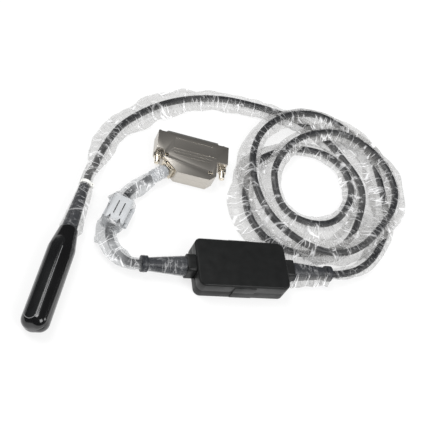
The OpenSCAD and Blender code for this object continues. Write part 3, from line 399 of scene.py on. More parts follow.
@dataclass(frozen=True)
class CreaseSizes:
    """What the crease group draws: three sets of lines, the breaks in them, and a haze."""

    sets: tuple[Streaks, ...] = (
        Streaks(0.3, 2.4, 0.8, 0.05),
        Streaks(-0.5, 4.4, 1.3, 0.08),
        Streaks(0.12, 8.0, 2.2, 0.12),
    )
    break_scale: float = 0.9
    break_detail: float = 1.0
    break_from: float = 0.48
    break_to: float = 0.6
    haze_scale: float = 1.7
    haze_detail: float = 2.0
    haze_from: float = 0.40
    haze_to: float = 0.62
    haze_height: float = 0.7

    def lines(
        self, tree: bpy.types.NodeTree, place: bpy.types.NodeSocket, density: bpy.types.NodeSocket,
        streaks: Streaks,
    ) -> bpy.types.NodeSocket:
        """Draws one set of lines.

        Args:
            tree: the tree.
            place: place on the UV map.
            density: how many cells the lines part.
            streaks: the set.

        Returns:
            1 on a line, 0 beside it.
        """
        mapped = add_node(tree, "ShaderNodeMapping", {
            "Vector": place, "Location": (streaks.along, streaks.turn, 0),
            "Rotation": (0, 0, streaks.turn), "Scale": (streaks.along, streaks.across, 1),
        }).outputs["Vector"]
        cells = add_node(
            tree, "ShaderNodeTexVoronoi", {"Vector": mapped, "Scale": density}, feature="DISTANCE_TO_EDGE"
        )
        breaks = add_node(tree, "ShaderNodeTexNoise", {
            "Vector": mapped, "Scale": self.break_scale, "Detail": self.break_detail,
        })
        drawn = ramp(tree, breaks.outputs["Fac"], self.break_from, self.break_to)
        return math_node(tree, "MULTIPLY", ramp(tree, cells.outputs["Distance"], streaks.wide, 0.0), drawn)


def surface_group(sizes: GrainSizes = GrainSizes()) -> bpy.types.NodeTree:
    """Builds the group for grain, mottling and worn edges.

    Args:
        sizes: what it draws.

    Returns:
        The group, with Height, Mottle and Wear as outputs.
    """
    tree, inside, outside = new_group(
        "surface_grain", "ShaderNodeTree", [("Scale", FLOAT), ("Mottle Scale", FLOAT)],
        [(name, FLOAT) for name in ("Height", "Mottle", "Wear")],
    )
    place = add_node(tree, "ShaderNodeTexCoord").outputs["Object"]
    fine, broad = (
        add_node(tree, "ShaderNodeTexNoise", {
            "Vector": place, "Scale": inside.outputs[scale], "Detail": detail,
        }).outputs["Fac"]
        for scale, detail in (("Scale", sizes.fine_detail), ("Mottle Scale", sizes.broad_detail))
    )
    sharpness = add_node(tree, "ShaderNodeNewGeometry").outputs["Pointiness"]
    worn = math_node(
        tree, "MULTIPLY", ramp(tree, sharpness, sizes.sharp_from, sizes.sharp_to),
        ramp(tree, broad, sizes.patch_from, sizes.patch_to),
    )
    feed(tree, outside, {"Height": fine, "Mottle": broad, "Wear": worn})
    return tree


def crease_group(sizes: CreaseSizes = CreaseSizes()) -> bpy.types.NodeTree:
    """Builds the group for the creases of thin film, laid out on the piece's UV map.

    Args:
        sizes: what it draws.

    Returns:
        The group, with Crease, Haze and Height as outputs.
    """
    tree, inside, outside = new_group(
        "film_creases", "ShaderNodeTree", [("Density", FLOAT)],
        [(name, FLOAT) for name in ("Crease", "Haze", "Height")],
    )
    place = add_node(tree, "ShaderNodeTexCoord").outputs["UV"]
    haze = add_node(tree, "ShaderNodeTexNoise", {
        "Vector": place, "Scale": sizes.haze_scale, "Detail": sizes.haze_detail,
    }).outputs["Fac"]
    bold, middling, faint = (
        sizes.lines(tree, place, inside.outputs["Density"], streaks) for streaks in sizes.sets
    )
    patchy = math_node(tree, "MULTIPLY", faint, ramp(tree, haze, sizes.haze_from, sizes.haze_to))
    # The crease mask bumps the film, and it also marks where the film's material paints its white glints.
    crease = math_node(tree, "MAXIMUM", bold, math_node(tree, "MAXIMUM", middling, patchy))
    height = math_node(tree, "MULTIPLY_ADD", haze, sizes.haze_height, crease)
    feed(tree, outside, {"Crease": crease, "Haze": haze, "Height": height})
    return tree


SURFACE = surface_group()
CREASES = crease_group()


# Finishes


@dataclass(frozen=True)
class Finish:
    """A solid finish: colour, gloss, grain, the way its edges wear, and painted shade in its recesses."""

    name: str
    colour: Colour
    roughness: float
    metallic: float = 0.0
    grain: Grain = Grain.SATIN
    bump: float = 0.05
    mottle: float = 0.25
    wear: float = 0.3
    coat: float = 0.0
    specular: float = 0.5
    # Painted shade in recesses: how far the AO node looks, the near-black shade colour, and the AO range
    # over which it fades in.
    recess_shade_reach: float = 0.0
    recess_shade_colour: Colour = (0.02, 0.02, 0.022)
    recess_shade_from: float = 0.45
    recess_shade_to: float = 0.8
    mottle_cells: float = 30
    gloss_spread: float = 0.22
    coat_roughness: float = 0.12
    grain_depth: float = 0.0002
    worn_factor: float = 1.5
    worn_lift: float = 0.05

    def shade(self, factor: float, lift: float = 0.0) -> tuple[float, ...]:
        """A lighter or darker opaque shade of the finish's colour."""
        return (*(min(1.0, c * factor + lift) for c in self.colour), 1.0)

    def material(self) -> bpy.types.Material:
        """Builds the finish's material from its sizes, or finds it where it is already there.

        Returns:
            The material.
        """
        material = bpy.data.materials.get(self.name)
        if material is not None:
            return material
        material, tree, shader = new_material(self.name)
        surface = add_node(tree, "ShaderNodeGroup", {
            "Scale": self.grain.value, "Mottle Scale": self.grain.value / self.mottle_cells,
        }, node_tree=SURFACE).outputs
        tone = mixed(tree, surface["Mottle"], self.shade(1 - self.mottle), self.shade(1 + self.mottle))
        worn = math_node(tree, "MULTIPLY", surface["Wear"], self.wear)
        tone = mixed(tree, worn, tone, self.shade(self.worn_factor, self.worn_lift))
        # Painted shade: where the AO node finds a face sheltered, its colour is darkened towards the shade
        # colour.
        if self.recess_shade_reach:
            occlusion = add_node(
                tree, "ShaderNodeAmbientOcclusion", {"Distance": self.recess_shade_reach}, only_local=True
            )
            unshaded = ramp(tree, occlusion.outputs["AO"], self.recess_shade_from, self.recess_shade_to)
            tone = mixed(tree, unshaded, (*self.recess_shade_colour, 1), tone)
        feed(tree, shader, {
            "Base Color": tone,
            "Metallic": self.metallic,
            "Coat Weight": self.coat,
            "Coat Roughness": self.coat_roughness,
            "Specular IOR Level": self.specular,
            "Roughness": math_node(
                tree, "MULTIPLY_ADD", surface["Mottle"], self.gloss_spread,
                self.roughness - self.gloss_spread / 2,
            ),
            "Normal": bumped(tree, surface["Height"], self.bump, self.grain_depth),
        })
        return material


@dataclass(frozen=True)
class FilmFinish:
    """Thin clear film: it all but vanishes where it clings, whitens where it is loose, and its creases are
    painted near white as painted glints.
    """

    name: str
    veil: float = 0.23
    cling: float = 0.015
    crease: float = 0.7
    rim: float = 0.3
    density: float = 1.0
    colour: Colour = (0.49, 0.485, 0.475)
    crease_glint_colour: Colour = (0.98, 0.98, 0.99)
    crease_when_loose: float = 0.7
    crease_always: float = 0.3
    haze_base: float = 0.5
    rim_blend: float = 0.25
    most: float = 0.95
    specular: float = 0.8
    haze_gloss: float = 0.2
    roughness: float = 0.08
    bump: float = 0.3
    bump_depth: float = 0.0008

    def opacity(self, tree: bpy.types.NodeTree, creases: bpy.types.NodeOutputs) -> bpy.types.NodeSocket:
        """Works out how much of the film shows; the mesh's attribute "loose" tells where it clings.

        Args:
            tree: the material's tree.
            creases: the outputs of the crease group.

        Returns:
            The opacity.
        """
        slack = add_node(tree, "ShaderNodeAttribute", attribute_name="loose").outputs["Fac"]
        facing = add_node(tree, "ShaderNodeLayerWeight", {"Blend": self.rim_blend}).outputs["Facing"]
        depth = math_node(tree, "MULTIPLY_ADD", slack, self.veil - self.cling, self.cling)
        body = math_node(
            tree, "MULTIPLY", depth, math_node(tree, "ADD", creases["Haze"], self.haze_base)
        )
        # Creases are made more opaque, so that their near-white painted glints show.
        drawn = math_node(
            tree, "MULTIPLY_ADD", slack, self.crease * self.crease_when_loose,
            self.crease * self.crease_always,
        )
        lined = math_node(tree, "MULTIPLY_ADD", creases["Crease"], drawn, body)
        edge = math_node(tree, "MULTIPLY", facing, slack)
        rimmed = math_node(tree, "MULTIPLY_ADD", edge, self.rim, lined)
        return math_node(tree, "MINIMUM", rimmed, self.most)

    def material(self) -> bpy.types.Material:
        """Builds the film's material from its sizes.

        Returns:
            The material.
        """
        material, tree, shader = new_material(self.name)
        creases = add_node(
            tree, "ShaderNodeGroup", {"Density": self.density}, node_tree=CREASES
        ).outputs
        # The crease lines take the near-white colour: painted glints.
        feed(tree, shader, {
            "Base Color": mixed(tree, creases["Crease"], (*self.colour, 1), (*self.crease_glint_colour, 1)),
            "Specular IOR Level": self.specular,
            "Roughness": math_node(
                tree, "MULTIPLY_ADD", creases["Haze"], self.haze_gloss, self.roughness
            ),
            "Alpha": self.opacity(tree, creases),
            "Normal": bumped(tree, creases["Height"], self.bump, self.bump_depth),
        })
        return material


PROBE_BLACK = Finish(
    "probe_gloss_black", (0.006, 0.006, 0.0065), 0.17, grain=Grain.SMOOTH, bump=0.02, coat=0.5
)
LENS_BLACK = Finish(
    "lens_rubber_black", (0.008, 0.0085, 0.009), 0.2, grain=Grain.SMOOTH, bump=0.02, wear=0.1
)
# The bead's light grey, far lighter than the black lens, is a painted highlight along the lens's rim.
BEAD_HIGHLIGHT_GREY = Finish("lens_bead_painted_highlight", (0.22, 0.22, 0.225), 0.2, grain=Grain.SMOOTH, bump=0.02, wear=0.1)
BOX_BLACK = Finish(
    "box_satin_black", (0.0115, 0.012, 0.012), 0.4, grain=Grain.CAST, bump=0.09, wear=0.5, specular=0.34
)
JACKET = Finish("cable_jacket_black", (0.010, 0.011, 0.014), 0.42, grain=Grain.SATIN, bump=0.06)
RELIEF = Finish("relief_rubber_grey", (0.022, 0.024, 0.029), 0.4, grain=Grain.SATIN, bump=0.06)
NYLON = Finish(
    "tie_nylon_white", (0.8, 0.8, 0.77), 0.35, grain=Grain.SMOOTH, bump=0.03, mottle=0.06, wear=0.1
)
# The case's slots and openings get painted shade in their recesses.
FERRITE_GREY = Finish(
    "ferrite_case_grey", (0.52, 0.535, 0.55), 0.4, grain=Grain.SATIN, mottle=0.08, wear=0.2, recess_shade_reach=0.0022
)
FERRITE_CORE = Finish("ferrite_core_dark", (0.06, 0.06, 0.065), 0.5, grain=Grain.CAST, bump=0.1)
CASTING = Finish(
    "nickel_casting", (0.64, 0.565, 0.485), 0.31, metallic=1.0, grain=Grain.CAST, bump=0.2, mottle=0.24
)
PLATED = Finish(
    "plated_steel", (0.66, 0.63, 0.57), 0.28, metallic=1.0, grain=Grain.SATIN, bump=0.05, mottle=0.15
)
SCREW = Finish(
    "jackscrew_steel", (0.84, 0.78, 0.68), 0.22, metallic=1.0, grain=Grain.SATIN, bump=0.06, mottle=0.2
)
CLAMP = Finish(
    "clamp_nickel", (0.7, 0.63, 0.52), 0.3, metallic=1.0, grain=Grain.CAST, bump=0.15, mottle=0.4
)
GOLD = Finish("contact_gold", (0.83, 0.62, 0.25), 0.25, metallic=1.0, grain=Grain.SMOOTH)
INSULATOR = Finish("insulator_black", (0.03, 0.03, 0.032), 0.5, grain=Grain.SATIN)
BOARD = Finish("board_green", (0.03, 0.2, 0.08), 0.35, grain=Grain.SATIN, coat=0.4)
CHIP = Finish("chip_black", (0.03, 0.03, 0.031), 0.55, grain=Grain.CAST)
RESIN = Finish("filled_resin", (0.28, 0.26, 0.21), 0.5, grain=Grain.CAST)
CRYSTAL = Finish("crystal_ceramic", (0.7, 0.66, 0.5), 0.6, grain=Grain.SATIN)
FLEX = Finish("flex_amber", (0.6, 0.3, 0.08), 0.25, grain=Grain.SMOOTH)
IVORY = Finish("ivory_plastic", (0.75, 0.72, 0.62), 0.4, grain=Grain.SATIN)
WIRE = Finish("wire_red", (0.5, 0.08, 0.06), 0.35, grain=Grain.SMOOTH)
LONG_FILM = FilmFinish("clear_film_long")
SHORT_FILM = FilmFinish("clear_film_short", veil=0.5, density=1.2, colour=(0.58, 0.59, 0.6))
ROLLED_FILM = FilmFinish(
    "rolled_film", veil=0.8, crease=0.4, rim=0.1, density=2.0, colour=(0.42, 0.435, 0.45)
)


# Studio


def aimed(place: Point, target: Point, roll_deg: float = 0.0) -> Matrix:
    """Places what looks along its own -Z.

    Args:
        place: where it stands.
        target: what it looks at.
        roll_deg: its turn about its own line of sight.

    Returns:
        Its matrix.
    """
    look = (Vector(target) - Vector(place)).to_track_quat("-Z", "Y").to_matrix().to_4x4()
    return Matrix.Translation(place) @ look @ Matrix.Rotation(math.radians(roll_deg), 4, "Z")


@dataclass(frozen=True)
class Lamp:
    """A square lamp: its place, its side and its power in watts."""

    name: str
    place: Point
    side: float
    watts: float


@dataclass
class Studio:
    """Camera, table and lamps. The camera stands where the photograph's stood."""

    target: Point = (-0.01093, 0.06126, 0.0)
    place: Point = (-0.2868, -0.3426, 0.6260)
    roll_deg: float = 32.77
    lens_mm: float = 72.0
    sensor_mm: float = 36.0
    sight: float = 20.0
    floor_side: float = 24.0
    floor_glow: float = 0.74
    paper: float = 0.97
    ambient: float = 0.6
    mirrored: float = 0.045
    lamp_target: Point = (0, 0.06, 0)
    lamps: tuple[Lamp, ...] = (
        Lamp("key_lamp", (-0.75, 0.55, 1.45), 0.8, 15.0),
        Lamp("fill_lamp", (0.55, -0.95, 1.25), 0.8, 11.0),
        Lamp("side_lamp", (1.35, -0.2, 0.6), 0.5, 3.0),
    )

    def add_camera(self) -> None:
        """Adds the camera, turned about its own line of sight."""
        data = bpy.data.cameras.new("camera")
        data.lens = self.lens_mm
        data.sensor_width = self.sensor_mm
        data.sensor_fit = "HORIZONTAL"
        data.clip_end = self.sight
        camera = bpy.data.objects.new("camera", data)
        camera.matrix_world = aimed(self.place, self.target, self.roll_deg)
        bpy.context.scene.collection.objects.link(camera)
        bpy.context.scene.camera = camera

    def add_table(self) -> None:
        """Adds the white table, which keeps soft shadows."""
        h = self.floor_side / 2
        mesh = mesh_from("table", [(-h, -h, 0), (h, -h, 0), (h, h, 0), (-h, h, 0)], [(0, 1, 2, 3)])
        table = new_object("table", mesh)
        material, tree, _ = new_material("table_white")
        tree.nodes.clear()
        ray = add_node(tree, "ShaderNodeLightPath").outputs
        mirrored = math_node(tree, "MAXIMUM", ray["Is Glossy Ray"], ray["Is Transmission Ray"])
        seen = math_node(tree, "MAXIMUM", ray["Is Camera Ray"], mirrored)
        paper = add_node(tree, "ShaderNodeBsdfDiffuse", {"Color": (*[self.paper] * 3, 1)})
        glow = add_node(tree, "ShaderNodeEmission", {"Color": WHITE})
        mix = add_node(tree, "ShaderNodeMixShader", {
            "Fac": math_node(tree, "MULTIPLY", seen, self.floor_glow),
            1: paper.outputs[0],
            2: glow.outputs[0],
        })
        add_node(tree, "ShaderNodeOutputMaterial", {"Surface": mix.outputs[0]})
        put_on(table, material)

    def add_lamp(self, plan: Lamp) -> None:
        """Adds a lamp that looks at the middle of the object.

        Args:
            plan: the lamp.
        """
        data = bpy.data.lights.new(plan.name, "AREA")
        data.shape = "SQUARE"
        data.size = plan.side
        data.energy = plan.watts
        lamp = bpy.data.objects.new(plan.name, data)
        lamp.matrix_world = aimed(plan.place, self.lamp_target)
        bpy.context.scene.collection.objects.link(lamp)

    def add_world(self) -> None:
        """Adds an even pale world, white to the camera and dark in what mirrors it."""
        world = bpy.data.worlds.new("world")
        bpy.context.scene.world = world
        world.use_nodes = True
        tree = world.node_tree
        tree.nodes.clear()
        ray = add_node(tree, "ShaderNodeLightPath").outputs
        strength = math_node(
            tree, "MULTIPLY_ADD", ray["Is Glossy Ray"], self.mirrored - self.ambient, self.ambient
        )
        dim, white = (
            add_node(tree, "ShaderNodeBackground", {"Color": WHITE, "Strength": value}).outputs[0]
            for value in (strength, 1.0)
        )
        mix = add_node(tree, "ShaderNodeMixShader", {"Fac": ray["Is Camera Ray"], 1: dim, 2: white})
        add_node(tree, "ShaderNodeOutputWorld", {"Surface": mix.outputs[0]})

    def build(self) -> None:
        """Sets up the camera, the table and the light."""
        self.add_camera()
        self.add_table()
        for plan in self.lamps:
            self.add_lamp(plan)
        self.add_world()
        bpy.context.scene.view_settings.view_transform = "Standard"
        log.info("studio set up")


# Routes


def eased(f: float) -> float:
    """Eases a share from 0 to 1."""
    return f * f * (3 - 2 * f)


def clamped(f: float) -> float:
    """Keeps a share between 0 and 1."""
    return min(1.0, max(0.0, f))


def between(table: Sequence[float], u: float) -> float:
    """Smooth value between the entries of a table.

    Args:
        table: the entries.
        u: place in the table, from 0.

    Returns:
        The value there.
    """
    i = min(max(int(u), 0), len(table) - 2)
    f = u - i
    a, b, c, d = (table[min(max(i + k, 0), len(table) - 1)] for k in (-1, 0, 1, 2))
    bend = 2 * a - 5 * b + 4 * c - d
    twist = 3 * b - a - 3 * c + d
    return b + (c - a) * f / 2 + bend * f * f / 2 + twist * f ** 3 / 2


def spline_points(points: Sequence[Sequence[float]], step: float) -> list[Vector]:
    """Runs a smooth line through points.

    Args:
        points: the points, in metres.
        step: distance from one result to the next, about.

    Returns:
        Points along the line.
    """
    out: list[Vector] = []
    for i in range(len(points) - 1):
        count = max(1, round((Vector(points[i + 1]) - Vector(points[i])).length / step))
        for k in range(count):
            out.append(Vector([between([p[axis] for p in points], i + k / count) for axis in range(3)]))
    out.append(Vector(points[-1]))
    return out


@dataclass(frozen=True)
class CoilRoute:
    """The way of the long cable: out of the box, round the coil and on to the probe's neck.

    The coil has a reach from its middle and a share of the upper layer for each eighth of a turn.
    """

    middle: tuple[float, float] = (0.100, 0.105)
    start_deg: float = -90.0
    reaches: tuple[float, ...] = (
        0.104, 0.086, 0.075, 0.086, 0.080, 0.073, 0.071, 0.078, 0.084, 0.076,
        0.084, 0.075, 0.053, 0.044, 0.047, 0.052, 0.047, 0.039, 0.039, 0.041,
        0.040, 0.048, 0.073, 0.094, 0.077, 0.055, 0.051, 0.051, 0.073, 0.111,
    )
    layer_shares: tuple[float, ...] = (
        0.6, 0, 0, 0, 1, 1, 1, 1, 1, 1, 1, 1, 1, 1, 0.5,
        0, 0, 0, 0, 0, 0, 0, 0, 0, 0, 0, 0, 0, 0, 0,
    )
    first: float = 1 / 3
    last: float = 28.0
    knots_each: int = 3
    entry_mark: float = 0.2
    look_back: float = 1 / 16
    layer_z: float = 0.0045
    layer_step: float = 0.009
    boot_end: float = BOOT_END
    box_axis_z: float = BOX_AXIS_Z
    diameter: float = CABLE_DIAMETER
    entry: tuple[Point, ...] = ((0.106, 0.0015, 0.010), (0.116, 0.005, 0.0085))
    lead: tuple[Point, ...] = (
        (0.084, 0.185, 0.0045), (0.070, 0.1895, 0.0045), (0.052, 0.1935, 0.0045), (0.031, 0.1965, 0.0045),
        (0.017, 0.1975, 0.0045), (0.003, 0.197, 0.0045), (-0.011, 0.195, 0.0045), (-0.024, 0.192, 0.0045),
        (-0.035, 0.1885, 0.0045), (-0.046, 0.184, 0.0045), (-0.056, 0.179, 0.0045), (-0.066, 0.173, 0.0045),
        (-0.080, 0.163, 0.0045), (-0.095, 0.1495, 0.0045), (-0.107, 0.133, 0.0045), (-0.117, 0.1145, 0.0055),
        (-0.123, 0.100, 0.0085),
    )
    neck: Point = (-0.134652, 0.073912, 0.01131)
    neck_way: Point = (0.32392, 0.94609, 0.0)

    def coil_point(self, u: float) -> Vector:
        """Finds a point of the coil.

        Args:
            u: how many eighths of a turn it lies from the start.

        Returns:
            The point.
        """
        a = math.radians(self.start_deg + EIGHTH_DEG * u)
        r = between(self.reaches, u)
        i = min(int(u), len(self.layer_shares) - 2)
        share = self.layer_shares[i] + (self.layer_shares[i + 1] - self.layer_shares[i]) * eased(u - i)
        return Vector(
            (
                self.middle[0] + r * math.cos(a), self.middle[1] + r * math.sin(a),
                self.layer_z + self.layer_step * share,
            )
        )

    def points(self) -> tuple[list[Vector], list[float]]:
        """Lists the whole way.

        Returns:
            The points, and for each the eighths of a turn that it lies at. Before the coil these
            are below the first, and past it they go on by one for each point of the lead.
        """
        start = [
            Vector((self.boot_end, 0, self.box_axis_z)),
            Vector((self.boot_end + self.diameter, 0, self.box_axis_z)),
        ]
        knots = [(p, 0.0) for p in start] + [(Vector(p), self.entry_mark) for p in self.entry]
        steps = int((self.last - self.first) * self.knots_each)
        for mark in (self.first + k / self.knots_each for k in range(steps + 1)):
            knots.append((self.coil_point(min(mark, self.last)), mark))
        end = self.coil_point(self.last)
        ahead = end - self.coil_point(self.last - self.look_back)
        ahead.z = 0
        knots.append((end + ahead.normalized() * self.diameter, self.last + self.entry_mark))
        knots += [(Vector(p), self.last + 1 + k) for k, p in enumerate(self.lead)]
        way = Vector(self.neck_way)
        far = self.last + len(self.lead)
        knots += [(Vector(self.neck) + way * self.diameter * (2 - k), far + 1 + k) for k in range(3)]
        out: list[Vector] = []
        marks: list[float] = []
        line = [k[0] for k in knots]
        for i in range(len(knots) - 1):
            a, b = knots[i], knots[i + 1]
            count = max(1, round((b[0] - a[0]).length / ROUTE_STEP))
            for k in range(count):
                f = k / count
                u = a[1] + (b[1] - a[1]) * f
                inside = self.first <= a[1] and b[1] <= self.last
                out.append(
                    self.coil_point(u)
                    if inside else Vector([between([p[x] for p in line], i + f) for x in range(3)])
                )
                marks.append(u)
        out.append(knots[-1][0])
        marks.append(knots[-1][1])
        return out, marks


@dataclass(frozen=True)
class ShortRoute:
    """The way of the short cable: box, ferrite, plug."""

    boot_end: float = BOOT_END
    box_axis_z: float = BOX_AXIS_Z
    diameter: float = CABLE_DIAMETER
    to_ferrite: tuple[Point, ...] = (
        (-0.1025, 0.0026, 0.0102), (-0.1078, 0.0072, 0.0098), (-0.1116, 0.0134, 0.0094),
        (-0.1140, 0.0204, 0.0090), (-0.1154, 0.0274, 0.0087),
    )
    to_plug: tuple[Point, ...] = (
        (-0.0942, 0.0722, 0.0085), (-0.0882, 0.0779, 0.0085), (-0.0814, 0.0836, 0.0082)
    )
    ferrite: Point = (-0.1066, 0.0500, 0.0085)
    ferrite_way: Point = (0.44620, 0.89493, 0.0)
    ferrite_l: float = 0.027
    entry: Point = PLUG_ENTRY
    entry_way: Point = PLUG_WAY
    clamp_reach: float = 0.0032
    cuff_l: float = CUFF_LENGTH
    cuff_gap: float = 0.0003
    cuff_margin: float = 0.0006
    ferrite_shares: tuple[float, ...] = (-2 / 3, -1 / 2, 0, 1 / 2, 2 / 3)

    def points(self) -> list[Vector]:
        """Lists the whole way in small steps.

        Returns:
            The points.
        """
        way, out = Vector(self.ferrite_way), Vector(self.entry_way)
        knots = [
            Vector((-self.boot_end, 0, self.box_axis_z)),
            Vector((-self.boot_end - self.diameter, 0, self.box_axis_z)),
        ]
        knots += [Vector(p) for p in self.to_ferrite]
        knots += [
            Vector(self.ferrite) + way * self.ferrite_l * share for share in self.ferrite_shares
        ]
        knots += [Vector(p) for p in self.to_plug]
        cuff = self.clamp_reach + self.cuff_gap
        knots += [
            Vector(self.entry) + out * t
            for t in (cuff + self.cuff_l + self.cuff_margin, cuff + self.cuff_l / 2, self.clamp_reach)
        ]
        return spline_points(knots, ROUTE_STEP)


def lengths_along(points: Sequence[Vector]) -> list[float]:
    """Measures along a line.

    Args:
        points: its points.

    Returns:
        The distance from the first point to each of them.
    """
    total = [0.0]
    for a, b in zip(points, points[1:]):
        total.append(total[-1] + (b - a).length)
    return total


# Cables


@dataclass
class Cables:
    """The long and the short cable."""

    long_route: CoilRoute = field(default_factory=CoilRoute)
    short_route: ShortRoute = field(default_factory=ShortRoute)
    roundness: int = 5

    def tube(self, name: str, points: Sequence[Vector], diameter: float) -> bpy.types.Object:
        """Makes a round cable along points as a curve.

        Args:
            name: the piece's name.
            points: its centreline.
            diameter: its thickness.

        Returns:
            The curve's object.
        """
        curve = bpy.data.curves.new(name, "CURVE")
        curve.dimensions = "3D"
        spline = curve.splines.new("POLY")
        spline.points.add(len(points) - 1)
        for point, place in zip(spline.points, points):
            point.co = (*place, 1)
        curve.bevel_depth = diameter / 2
        curve.bevel_resolution = self.roundness
        curve.use_fill_caps = True
        obj = bpy.data.objects.new(name, curve)
        bpy.context.scene.collection.objects.link(obj)
        return obj

    def build(self) -> dict[str, bpy.types.Object]:
        """Makes both cables.

        Returns:
            The cables by name.
        """
        points, _ = self.long_route.points()
        long_cable = self.tube("long_cable", points, self.long_route.diameter)
        put_on(long_cable, JACKET.material())
        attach(long_cable, ROOT)
        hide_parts("cable_coil", "probe_lead")
        log.info("long cable: %.3f m", lengths_along(points)[-1])
        line = self.short_route.points()
        short_cable = self.tube("short_cable", line, self.short_route.diameter)
        put_on(short_cable, JACKET.material())
        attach(short_cable, ROOT)
        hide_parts("plug_lead")
        log.info("short cable: %.3f m", lengths_along(line)[-1])
        return {"long": long_cable, "short": short_cable}

    def declare(self) -> None:
        """Works out both cables' routes and lengths, and keeps nothing.
        """
        points, _ = self.long_route.points()
        lengths_along(points)[-1]
        line = self.short_route.points()
        lengths_along(line)[-1]


# Film


@dataclass(frozen=True)
class Crumple:
    """How film folds, where its edge has bays, how it falls beside what it covers, and where it greys."""

    facet_across: float = 1.25
    fine_facets: float = 2.3
    ridge: float = 0.95
    fine_ridge: float = 0.16
    valley: float = 0.25
    bay: float = 0.026
    nick: float = 0.011
    drift: float = 0.05
    reach: float = 1.12
    bay_depth: float = 0.34
    nick_depth: float = 0.16
    drift_depth: float = 0.16
    gather: float = 1.1
    opening: float = 0.004
    freeing: float = 0.003
    shoulder: float = 0.8
    drop: float = 0.0075
    steepness: float = 0.9
    cling_fold: float = 0.0005
    under_fold: float = 0.0006
    draped_floors: float = 3
    upper_floors: float = 2
    cloud_along: float = 0.018
    cloud_across: float = 0.02
    cloud_mean: float = 0.5
    cloud_gain: float = 1.6
    cloud_least: float = 0.35
    nick_seed: float = 4
    drift_seed: float = 9
    cloud_seed: float = 17
    under_seed: float = 31.0
    inward_seed: float = 2.0
    outward_seed: float = 5.0
    map_cell: float = 0.03
    map_under: float = 3.0
    sharp_deg: float = 24.0


def film_piece(
    name: str, rings: Sequence[Sequence[Vector]], on_map: Callable[[int, int], tuple[float, float]],
    loose: Sequence[float], closed: bool, sharp_deg: float,
) -> bpy.types.Object:
    """Makes a piece of film from rings of points.

    Args:
        name: the piece's name.
        rings: the rings, in order.
        on_map: gives the place on the UV map of a ring's point, from both their numbers.
        loose: how loose the film is at each point, for its finish.
        closed: whether the last ring joins the first.
        sharp_deg: angle from which a fold stays sharp.

    Returns:
        The piece.
    """
    n = len(rings[0])
    mesh = mesh_from(name, [p for ring in rings for p in ring], ring_faces(len(rings), n, closed))
    layer = mesh.uv_layers.new(name="film")
    for loop in mesh.loops:
        layer.data[loop.index].uv = on_map(*divmod(loop.vertex_index, n))
    slackness = mesh.attributes.new("loose", "FLOAT", "POINT")
    slackness.data.foreach_set("value", loose)
    smooth(mesh, sharp_deg)
    return new_object(name, mesh)


